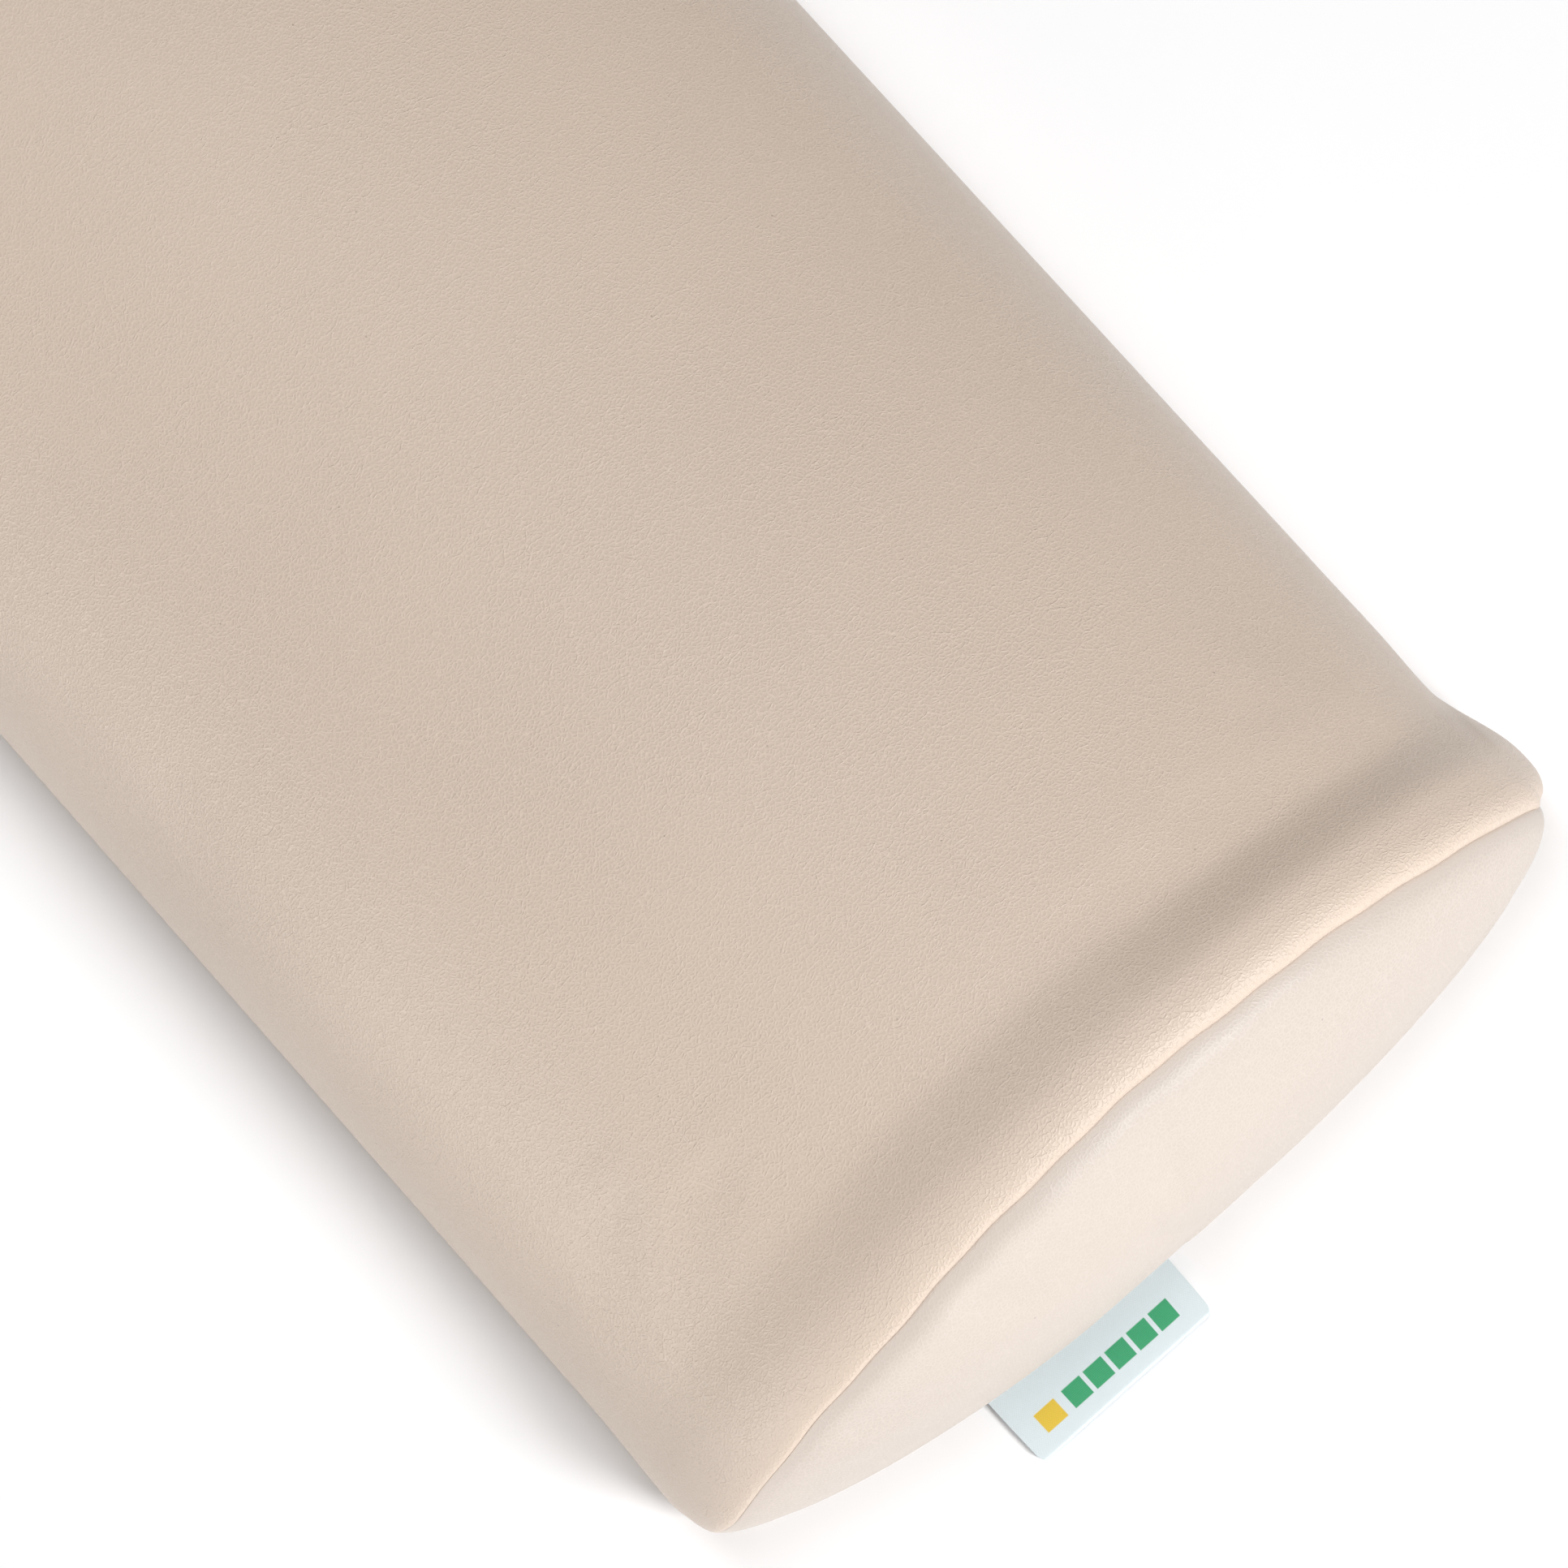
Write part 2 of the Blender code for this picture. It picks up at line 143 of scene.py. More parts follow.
class CushionCoverSettings(bpy.types.PropertyGroup):
    """Shape of the cover."""

    edge_radius: length("Edge radius", "Rounding of the long edges beside the base", 0.014)
    arch_power: FloatProperty(
        name="Arch power", description="2 is a half ellipse, more fills out the shoulders", default=2.0, min=1, max=6
    )
    thickness: length("Thickness", "Leatherette with its knitted backing", 0.0012)
    crease_inset: length("Crease inset", "How far the end seam lies inside the body's outline", 0.0006)
    lip_length: length("Lip length", "Length of the rolled lip beside the end seam", 0.006)
    least_lip: length("Least lip", "Smallest radius of the rolled lip", 0.0016)
    allowance: length("Allowance", "Turned-in edge behind the end seam", 0.0105)
    seam_gap: length("Seam gap", "Room between the two turned-in edges", 0.0001)
    bulge: length("Bulge", "How far the end panels dome out past their seams", 0.0189)
    crown_height: length("Crown height", "Height of the end panel's peak above the base", 0.034)
    recess_depth: length("Recess depth", "Depth of the recess that holds the zip", 0.008)
    recess_ledge: length("Recess ledge", "Half width of the recess's floor", 0.011)
    recess_half: length("Recess half width", "Half width of the recess at the base", 0.022)
    recess_end: length("Recess end", "From the end seam to where the recess starts", 0.018)
    recess_run: length("Recess run", "Length over which the recess reaches its full depth", 0.014)
    zip_opening: length("Zip opening", "Between the cover's two folded edges", 0.012)
    butt_gap: length("Butt gap", "Between the same edges past the zip's ends", 0.0005)


class CushionFillSettings(bpy.types.PropertyGroup):
    """Swelling of the cover over its foam, and the foam itself."""

    pressure: factor("Pressure", "How hard the foam presses on the cover", 3.0, 50)
    ease: factor("Ease", "Share by which the leatherette is cut larger than its foam", 0.002, 0.1)
    most_swell: length("Most swell", "How far the cover over the arch may move", 0.0005)
    most_dome: length("Most dome", "How far the end panels may move", 0.0009)
    seed: IntProperty(name="Seed", description="Start of the random unevenness", default=7, min=0)
    dome_start: length("Dome start", "From the end seam to where the foam's end is rounded off", 0.014)


class CushionTrimSettings(bpy.types.PropertyGroup):
    """Stitching, zip and label."""

    thread: length("Thread", "Thickness of the sewing thread", 0.0005)
    seam_stitch: length("Seam stitch", "Length of a stitch in the end seams", 0.0035)
    zip_stitch: length("Zip stitch", "Length of a stitch beside the zip", 0.0030)
    coil_pitch: length("Coil pitch", "Length of one turn of the zip's coils", 0.0015)
    coil_wire: length("Coil wire", "Thickness of the coils' nylon wire", 0.0007)
    slider_plate: length("Slider plate", "Thickness of the slider's plates", 0.0010)
    slider_edge: length("Slider edge", "Rounding of the slider's edges", 0.0003)
    flange: length("Flange", "Thickness of the slider's side flanges", 0.0008)
    clear: length("Clear", "Between the zip's parts that slide past each other", 0.0003)
    eye_length: length("Eye length", "Length of the puller's eye", 0.0046)
    eye_width: length("Eye width", "Width of the puller's eye", 0.0024)
    ribbon: length("Ribbon", "Thickness of the label's ribbon", 0.0003)
    ribbon_corner: length("Ribbon corner", "Rounding of the label at its fold", 0.0018)
    fold: length("Fold", "Height of the label's fold", 0.0012)
    stripe_width: length("Stripe width", "Length of the label's woven bar", 0.026)
    stripe_height: length("Stripe height", "Height of the label's woven bar", 0.0042)


class CushionFinishSettings(bpy.types.PropertyGroup):
    """Colours and grain."""

    leather: colour("Leatherette", "Colour of the cover", 203, 186, 171)
    # The end panels' colour is a greyer copy of the leatherette's: painted sheen, standing in for the white sheen the
    # light lays on the panels
    panel: colour("End panels", "Colour of the end panels, from a paler hide", 195, 184, 175)
    backing: colour("Backing", "Knitted side of the leatherette", 226, 218, 206)
    foam: colour("Foam", "Colour of the core", 233, 224, 196)
    thread: colour("Thread", "Colour of the stitching", 222, 206, 188)
    tape: colour("Zip tape", "Colour of the woven tapes", 205, 189, 168)
    coil: colour("Zip coil", "Colour of the nylon coils", 214, 200, 182)
    metal: colour("Zip metal", "Colour of the nickel fittings", 196, 192, 186)
    satin: colour("Label", "Colour of the ribbon", 216, 228, 233)
    stripe: colour("Label stripe", "Broad woven stripe", 38, 158, 104)
    accent: colour("Label accent", "Short woven bar", 224, 190, 44)
    grain_across: length("Grain across", "Pitch of the leather's grain around the cushion", 0.00088)
    grain_along: length("Grain along", "Pitch of the leather's grain along the cushion", 0.00080)
    grain_depth: length("Grain depth", "Height of the leather's grain", 0.00011)


class CushionStageSettings(bpy.types.PropertyGroup):
    """Camera, floor and lights."""

    lens: FloatProperty(name="Lens", description="Focal length", default=222.6, min=1, max=1000, unit="CAMERA")
    place: FloatVectorProperty(
        name="Place", description="Where the camera stands", default=(0.4540, -0.0440, 1.7465), subtype="XYZ"
    )
    aim: FloatVectorProperty(
        name="Aim", description="What the camera looks at", default=(0.1122, 0.0004, 0.05), subtype="XYZ"
    )
    roll: FloatProperty(
        name="Roll", description="Turn about the line of sight", default=math.radians(-34.42), subtype="ANGLE"
    )
    floor: colour("Floor", "Colour of the floor", 249, 249, 250)
    key_power: factor("Key power", "Watts of the high light past the labelled end", 27.0, 1000)
    low_power: factor("Low power", "Watts of the low light past the labelled end", 6.0, 1000)
    side_power: factor("Side power", "Watts of the low light opposite the zip side", 9.2, 1000)
    rear_power: factor("Rear power", "Watts of the light past the plain end", 9.5, 1000)
    top_power: factor("Top power", "Watts of the broad light overhead", 8.5, 1000)
    sky: factor("Sky", "Strength of the even light from all round", 0.08, 10)


# Shape helpers


def smooth_step(share):
    """3 s ** 2 - 2 s ** 3, held at 0 and 1 beyond its ends."""
    share = np.clip(share, 0, 1)
    return share * share * (3 - 2 * share)


def eased(at, places, values):
    """A curve that is level at each place and passes smoothly from one value to the next."""
    index = np.clip(np.searchsorted(places, at) - 1, 0, len(places) - 2)
    low, high = np.asarray(places)[index], np.asarray(places)[index + 1]
    share = smooth_step((at - low) / (high - low))
    values = np.asarray(values)
    return values[index] * (1 - share) + values[index + 1] * share


def grid_faces(rows, columns, closed=False):
    """Quads between neighbouring points of a grid, which may close from its last column to its first."""
    row = np.arange(rows - 1)[:, None]
    column = np.arange(columns if closed else columns - 1)[None, :]
    after = (column + 1) % columns
    here = row * columns
    return np.stack([here + column, here + after, here + columns + after, here + columns + column], -1).reshape(-1, 4)


def add_piece(name, points, faces, finishes, uv=None, marks=None):
    """An object at the origin from points and faces, which is smooth and whose place is in its mesh."""
    mesh = bpy.data.meshes.new(name)
    corners = [list(map(int, face)) for group in faces for face in group]
    mesh.from_pydata(points.tolist(), [], corners)
    if uv is not None:
        at_corners = uv[np.concatenate([np.ravel(group) for group in faces])]
        mesh.uv_layers.new(name="UVMap").uv.foreach_set("vector", at_corners.astype(np.float32).ravel())
    for mark, values in (marks or {}).items():
        mesh.attributes.new(mark, "FLOAT", "POINT").data.foreach_set("value", values.astype(np.float32))
    mesh.shade_smooth()
    made = bpy.data.objects.new(name, mesh)
    bpy.context.scene.collection.objects.link(made)
    for finish in finishes:
        mesh.materials.append(finish)
    return made


def circle(radius, sides):
    """Points (r cos t, r sin t)."""
    angle = np.arange(sides) / sides * 2 * math.pi
    return radius * np.stack([np.cos(angle), np.sin(angle)], -1)


def carried(profile, path, reference, closed=False):
    """A profile carried along a path: each point of the path, plus the profile's two columns times two directions
    square to the path, the second of which lies nearest to the reference direction."""
    along = np.roll(path, -1, 0) - np.roll(path, 1, 0) if closed else np.gradient(path, axis=0)
    along /= np.linalg.norm(along, axis=1)[:, None]
    across = np.cross(along, reference)
    across /= np.linalg.norm(across, axis=1)[:, None]
    up = np.cross(across, along)
    return path[:, None] + profile[None, :, :1] * across[:, None] + profile[None, :, 1:] * up[:, None]


def rounded(half_x, half_y, power, taper=0.0, count=48):
    """A rounded oblong, |x / a| ** p + |y / b| ** p = 1, which narrows by its taper towards +X."""
    angle = np.arange(count) / count * 2 * math.pi
    cosine, sine = np.cos(angle), np.sin(angle)
    x = half_x * np.sign(cosine) * np.abs(cosine) ** (2 / power)
    y = half_y * np.sign(sine) * np.abs(sine) ** (2 / power)
    return np.stack([x, y * (1 - taper * x / half_x)], -1)


def slab(outline, low, high, edge):
    """Rings of a flat plate with quarter round edges: the outline drawn in by the edge at its two faces."""
    centre = (outline.min(0) + outline.max(0)) / 2
    half = (outline.max(0) - outline.min(0)) / 2
    turn = np.linspace(0, math.pi / 2, 4)
    inset = edge * (1 - np.sin(turn))
    rise = edge * (1 - np.cos(turn))
    insets = np.concatenate([inset, inset[::-1]])
    heights = np.concatenate([low + rise, high - rise[::-1]])
    flat = centre + (outline - centre)[None] * (1 - insets[:, None, None] / half)
    return np.concatenate([flat, np.broadcast_to(heights[:, None, None], (*flat.shape[:2], 1))], -1)


def add_tube(name, tubes, finish_name, uv=None, closed=False):
    """One object from grids whose columns close round each tube, and whose rows close too, or end in caps."""
    points, groups, start = [], [], 0
    for grid in tubes:
        rings, sides = grid.shape[:2]
        faces = grid_faces(rings + closed, sides, closed=True) % (rings * sides)
        caps = [] if closed else [np.arange(sides)[None, ::-1], (rings - 1) * sides + np.arange(sides)[None, :]]
        flat = grid.reshape(-1, 3)
        a, b, c, d = (flat[faces[:, k]] for k in range(4))
        volume = (np.cross(b - a, c - a) * a).sum() + (np.cross(c - a, d - a) * a).sum()
        for group in (faces, *caps):
            groups.append(start + (group if volume > 0 else group[:, ::-1]))
        points.append(flat)
        start += len(flat)
    return add_piece(name, np.concatenate(points), groups, (finish(finish_name),), uv)


def stitched(face, middle, pitch, closed=False):
    """A thread's middle line: it lies on the face line, and dips to the middle line once every pitch."""
    far = np.concatenate([[0], np.cumsum(np.linalg.norm(np.diff(middle, axis=0), axis=1))])
    stitches = round(far[-1] / pitch)
    at = np.linspace(0, 1, stitches * 8 + 1)
    at = at[:-1] if closed else at
    on_face, between = (
        np.stack([np.interp(at * far[-1], far, line[:, k]) for k in range(3)], -1) for line in (face, middle)
    )
    dip = smooth_step((np.abs((at * stitches) % 1 - 0.5) - 0.34) / 0.16)[:, None]
    return on_face * (1 - dip) + between * dip


def solidify(piece, thickness, offset=-1, inner=0):
    """Gives a surface its thickness, with the material of this index on its inner side and rim."""
    shell = piece.modifiers.new("Thickness", "SOLIDIFY")
    shell.thickness = thickness
    shell.offset = offset
    shell.use_even_offset = True
    shell.material_offset = inner
    shell.material_offset_rim = inner


def round_edges(piece, width):
    """Rounds the cut edges of a piece."""
    bevel = piece.modifiers.new("Edges", "BEVEL")
    bevel.width = width
    bevel.segments = 2
    bevel.limit_method = "ANGLE"
    bevel.angle_limit = math.radians(60)


def stand_for(piece, node, body=BODY):
    """The piece replaces a CAD node, which it hides, and rides on a body."""
    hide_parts(node)
    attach(piece, body)


# Cover


def section(settings, counts):
    """The cover's outline from its +Y zip edge round to its -Y one, as columns of values for each point round it.

    The columns are y and z at the base's own level, the outward direction, the share of the recess's depth, the
    share of half the zip's opening, the turn over the arch in degrees (0 at +Y, 180 at -Y) and the length so far.
    The arch is a half superellipse, |y / a| ** p + |z / b| ** p = 1, on two quarter round corners. The counts are
    of the points on the recess's floor, on its slope, beside it, on a corner, over the arch and along the base.
    """
    ledge, ramp, strip, corner, over, base = counts
    radius = settings.edge_radius
    flat = HALF_WIDTH - radius
    step = np.linspace(0, 1, ledge + 1)[:-1]
    slope = np.linspace(0, 1, ramp + 1)[:-1]
    sides = {}
    for side, room, count in ((1, flat - ZIP_Y, strip), (-1, flat + ZIP_Y, base)):
        ends = np.linspace(0, 1, count + 1)[:-1]
        half, shelf = settings.recess_half, settings.recess_ledge
        across = np.concatenate([shelf * step, shelf + (half - shelf) * slope, half + (room - half) * ends])
        depth = np.concatenate([np.ones(ledge), 1 - smooth_step(slope), np.zeros(count)])
        opening = np.concatenate([side * (1 - step), np.zeros(ramp + count)])
        sides[side] = (ZIP_Y + side * across, depth, opening)
    turn = np.linspace(-math.pi / 2, 0, corner + 1)[:-1]
    round_y, round_z = flat + radius * np.cos(turn), radius + radius * np.sin(turn)
    sweep = np.linspace(0, math.pi, over)
    power = 2 / settings.arch_power
    arch_y = HALF_WIDTH * np.sign(np.cos(sweep)) * np.abs(np.cos(sweep)) ** power
    arch_z = radius + (HEIGHT - radius) * np.sin(sweep).clip(0) ** power
    middle = 2 * corner + over
    y = np.concatenate([sides[1][0], round_y, arch_y, -round_y[::-1], sides[-1][0][::-1]])
    z = np.concatenate([np.zeros_like(sides[1][0]), round_z, arch_z, round_z[::-1], np.zeros_like(sides[-1][0])])
    depth = np.concatenate([sides[1][1], np.zeros(middle), sides[-1][1][::-1]])
    opening = np.concatenate([sides[1][2], np.zeros(middle), sides[-1][2][::-1]])
    along = np.stack([np.gradient(y), np.gradient(z)])
    along /= np.linalg.norm(along, axis=0)
    outward_y, outward_z = along[1], -along[0]
    flat_part = z < 1e-6
    outward_y[flat_part], outward_z[flat_part] = 0, -1
    over_arch = np.degrees(np.arctan2(z - radius, y / 1.4))
    over_arch = np.where(z < radius, np.where(y > 0, 0.0, 180.0), over_arch)
    far = np.concatenate([[0], np.cumsum(np.hypot(np.diff(y), np.diff(z)))])
    return {
        "y": y, "z": z, "out_y": outward_y, "out_z": outward_z,
        "depth": depth, "opening": opening, "turn": over_arch, "far": far,
    }


def flare(ring, side):
    """For each point round the section at one end: the rim's rise, and where and how long its slope is.

    The stiff seam holds the rim wider than the foam behind it, most at one shoulder, and not at all at the base.
    """
    turn = ring["turn"] if side > 0 else 180 - 0.85 * ring["turn"]
    rise = eased(turn, RISE_TURNS, RISES) * smooth_step(ring["z"] / RIM_FADE)
    return rise, eased(turn, SLOPE_TURNS, SLOPE_MIDDLES), eased(turn, SLOPE_TURNS, SLOPE_RUNS)


def bow(y, z):
    """How far the end seam lies beyond its plane: by a quartic of y / a, less a quarter round at each lower corner,
    plus two small sine waves."""
    over = np.polyval(BOW, y / HALF_WIDTH) * smooth_step((z - 0.004) / 0.026)
    corner = np.where(y < 0, FRONT_CORNER, REAR_CORNER)
    share = np.clip((np.abs(y) - HALF_WIDTH + corner) / corner, 0, 1)
    unevenness = 0.00020 * np.sin(150 * y + 40 * z) + 0.00012 * np.sin(410 * y + 2)
    return over - corner * (1 - np.sqrt(1 - (0.96 * share) ** 2)) + unevenness


def lip(settings, rise, ring):
    """The rolled lip's radius for each rise of the rim, which is larger at the two lower corners."""
    tip = smooth_step((np.abs(ring["y"]) - 0.083) / 0.014) * (1 - smooth_step((ring["z"] - 0.012) / 0.02))
    return np.maximum(settings.least_lip, (rise + settings.crease_inset) / 1.64) + 0.0010 * tip


def tuck(rise, radius):
    """How far out the turned-in edges lie: a lip's height below the rim, but clear of the foam."""
    return np.maximum(rise - 2 * radius, -0.0030)


def rim_profile(settings, ring, side, before, turns):
    """(distance from the end, outward offset) for each row and each point round one end of the wrap.

    Rows run from the middle towards the end: the level body, the slope up to the rim, half an ellipse that
    rolls the lip over and back under itself, and the turned-in allowance.
    """
    rise, middle, run = (value[None, :] for value in flare(ring, side))
    radius = lip(settings, rise, ring)
    distance = np.broadcast_to(before[:, None], (len(before), rise.shape[1]))
    up = smooth_step((middle + run / 2 - distance) / run)
    dip = np.exp(-(((distance - middle - run * 0.62) / (run * 0.45)) ** 2))
    body = rise * (up - 0.10 * dip)
    angle = turns[:, None]
    rolled_distance = settings.lip_length * (1 - np.sin(angle)) + 0 * rise
    rolled = rise - radius + radius * np.cos(angle)
    inner = np.array([settings.lip_length * 1.3, settings.allowance])[:, None] + 0 * rise
    tucked = tuck(rise, radius) + 0 * inner
    return np.vstack([distance, rolled_distance, inner]), np.vstack([body, rolled, tucked])


def outline_at(settings, ring, side, distance, offset):
    """(x, y, z) of the wrap's outer face at these distances from one end, and offsets from its plain section."""
    deep = settings.recess_depth * smooth_step((distance - settings.recess_end) / settings.recess_run)
    closed_at = END_X - TAPE_HIGH.x + 0.003
    open_at = END_X - COIL_HIGH.x - 0.006
    opened = smooth_step((distance - closed_at) / (open_at - closed_at))
    gap = settings.butt_gap + (settings.zip_opening - settings.butt_gap) * opened
    y = ring["y"] + ring["opening"] * gap / 2 + ring["out_y"] * offset
    z = ring["z"] + ring["depth"] * deep + ring["out_z"] * offset
    near = 1 - smooth_step((distance - 0.012) / 0.05)
    x = side * (END_X - distance + bow(side * y if side < 0 else y, z) * near)
    return np.stack([x, y, z], -1)


def wrap_points(settings, ring):
    """Rows of points from the -X end's allowance to the +X end's."""
    level = END_X - np.linspace(0, 1, 34)[:-1] * (END_X - LEVEL_ENDS)
    closer = np.linspace(LEVEL_ENDS, SLOPE_STARTS, 15)[:-1]
    slope = np.linspace(SLOPE_STARTS, settings.lip_length, 24)[:-1]
    before = np.concatenate([level, closer, slope])
    turns = np.linspace(0, math.pi, 15)
    halves = []
    for side in (1, -1):
        distance, offset = rim_profile(settings, ring, side, before, turns)
        halves.append(outline_at(settings, ring, side, distance, offset))
    return np.concatenate([halves[1][::-1][:-1], halves[0]])


def panel_points(settings, ring, side, rings):
    """Rows of points of one end panel, from its turned-in allowance out to the crease and over the dome.

    The dome's rows are copies of the crease drawn in towards the crown by s = cos t, and the panel stands out
    from the seam by bulge * (1 - s ** 2) ** p, with p from the dome's powers.
    """
    rise = flare(ring, side)[0]
    radius = lip(settings, rise, ring)
    clear = settings.seam_gap
    tucked = tuck(rise, radius) - clear
    crease = rise - radius + radius * math.cos(LIP_CONTACT) - clear
    start = settings.lip_length * (1 - math.sin(LIP_CONTACT)) + clear
    distances = (settings.allowance, settings.lip_length, 0.55 * settings.lip_length, start + 0.0007, start)
    offsets = (tucked, tucked, tucked * 0.75 + crease * 0.25, crease - 0.0004, crease)
    rows = [
        outline_at(settings, ring, side, np.full(len(rise), far), inset) for far, inset in zip(distances, offsets)
    ]
    edge = rows[-1]
    crown = np.array([0, settings.crown_height])
    share = np.cos(np.linspace(0, math.pi / 2, rings + 1))[1:-1, None]
    bulge = settings.bulge + start
    plane = side * (END_X - start)
    flat = crown + (edge[:, 1:] - crown)[None] * share[..., None]
    power = eased(ring["turn"], DOME_TURNS, DOME_POWERS)
    x = plane + side * bulge * (1 - share**2) ** power + (edge[:, 0] - plane) * share**3
    pucker = np.sin(170 * ring["y"] + 60 * ring["z"]) + 0.7 * np.sin(390 * ring["y"] + 1)
    x = x + side * PUCKER * share**8 * (1 - share**4) * pucker * smooth_step(ring["z"] / 0.02)
    dome = np.concatenate([x[..., None], flat], -1)
    peak = np.array([[plane + side * bulge, *crown]])
    return np.concatenate([np.stack(rows), dome]), peak


def closed_ring(settings):
    """The section without the zip's recess and opening, for the end panels, closed across the base."""
    ring = section(settings, (3, 3, 3, 8, 120, 30))
    return {name: values[:-1] for name, values in ring.items()}


# Swelling of the cover over its foam


def spread(fine, coarse):
    """Weights that carry values from evenly numbered coarse points to fine ones, by a cubic B-spline."""
    at = np.linspace(0, coarse - 1, fine)
    first = np.floor(at).astype(int)
    t = at - first
    weights = np.zeros((fine, coarse))
    parts = ((1 - t) ** 3 / 6, (3 * t**3 - 6 * t**2 + 4) / 6, (-3 * t**3 + 3 * t**2 + 3 * t + 1) / 6, t**3 / 6)
    for shift, part in zip((-1, 0, 1, 2), parts):
        np.add.at(weights, (np.arange(fine), np.clip(first + shift, 0, coarse - 1)), part)
    return weights


def swollen(settings, grid, free, counts, most, seed):
    """The grid's points after the foam has pressed on them: a coarse copy of it is simulated as cloth.

    free says for each point how far it may leave its place, from 0 to 1, and most is the greatest distance. Both
    open ends of the coarse copy are closed by a fan of faces that is held, as its held rows are. A grid whose last
    column repeats its first goes into the copy without it, so that no face there is empty.
    """
    rows, columns = grid.shape[:2]
    pick = [np.round(np.linspace(0, size - 1, count)).astype(int) for size, count in zip((rows, columns), counts)]
    loose = free[np.ix_(*pick)]
    generator = np.random.default_rng(seed)
    tall, wide = counts
    bumps = spread(tall, 13) @ generator.standard_normal((13, 15)) @ spread(wide, 15).T
    coarse = grid[np.ix_(*pick)]
    joined = np.allclose(coarse[:, 0], coarse[:, -1])
    if joined:
        coarse, loose, bumps, wide = coarse[:, :-1], loose[:, :-1], bumps[:, :-1], wide - 1
    held = loose.ravel() < HELD_BELOW
    outward = (coarse - coarse.reshape(-1, 3).mean(0)) * np.array([0, 1, 1])
    outward /= np.linalg.norm(outward, axis=-1)[..., None] + 1e-9
    start = coarse + outward * (bumps * UNEVENNESS * loose)[..., None]
    ends = np.stack([start[0].mean(0), start[-1].mean(0)])
    points = np.concatenate([start.reshape(-1, 3), ends])
    faces = grid_faces(tall, wide, closed=True)
    around = np.arange(wide)
    first = np.stack([np.roll(around, -1), around, np.full(wide, tall * wide)], -1)
    last = (tall - 1) * wide
    final = np.stack([last + around, last + np.roll(around, -1), np.full(wide, tall * wide + 1)], -1)
    cage = add_piece("cage", points, [faces, first, final], ())
    pins = cage.vertex_groups.new(name="held")
    pins.add([int(k) for k in np.flatnonzero(held)] + [tall * wide, tall * wide + 1], 1.0, "REPLACE")
    cloth = cage.modifiers.new("Cloth", "CLOTH").settings
    cloth.quality = 6
    cloth.vertex_group_mass = "held"
    cloth.use_pressure = True
    cloth.uniform_pressure_force = settings.pressure
    cloth.shrink_min = -settings.ease
    cloth.tension_stiffness = cloth.compression_stiffness = 30
    cloth.bending_stiffness = 2
    cloth.effector_weights.gravity = 0
    scene = bpy.context.scene
    for step in range(1, FRAMES + 1):
        scene.frame_set(step)
    moved = np.empty(len(points) * 3, np.float32)
    cage.evaluated_get(bpy.context.evaluated_depsgraph_get()).data.vertices.foreach_get("co", moved)
    scene.frame_set(1)
    bpy.data.objects.remove(cage)
    shift = moved.reshape(-1, 3)[:-2].reshape(coarse.shape) - coarse
    size = np.linalg.norm(shift, axis=-1)[..., None] + 1e-12
    shift *= most * np.tanh(size / most) / size
    if joined:
        shift, wide = np.concatenate([shift, shift[:, :1]], 1), wide + 1
    fine = np.einsum("ri,ijk,cj->rck", spread(rows, tall), shift, spread(columns, wide))
    return grid + fine * free[..., None]


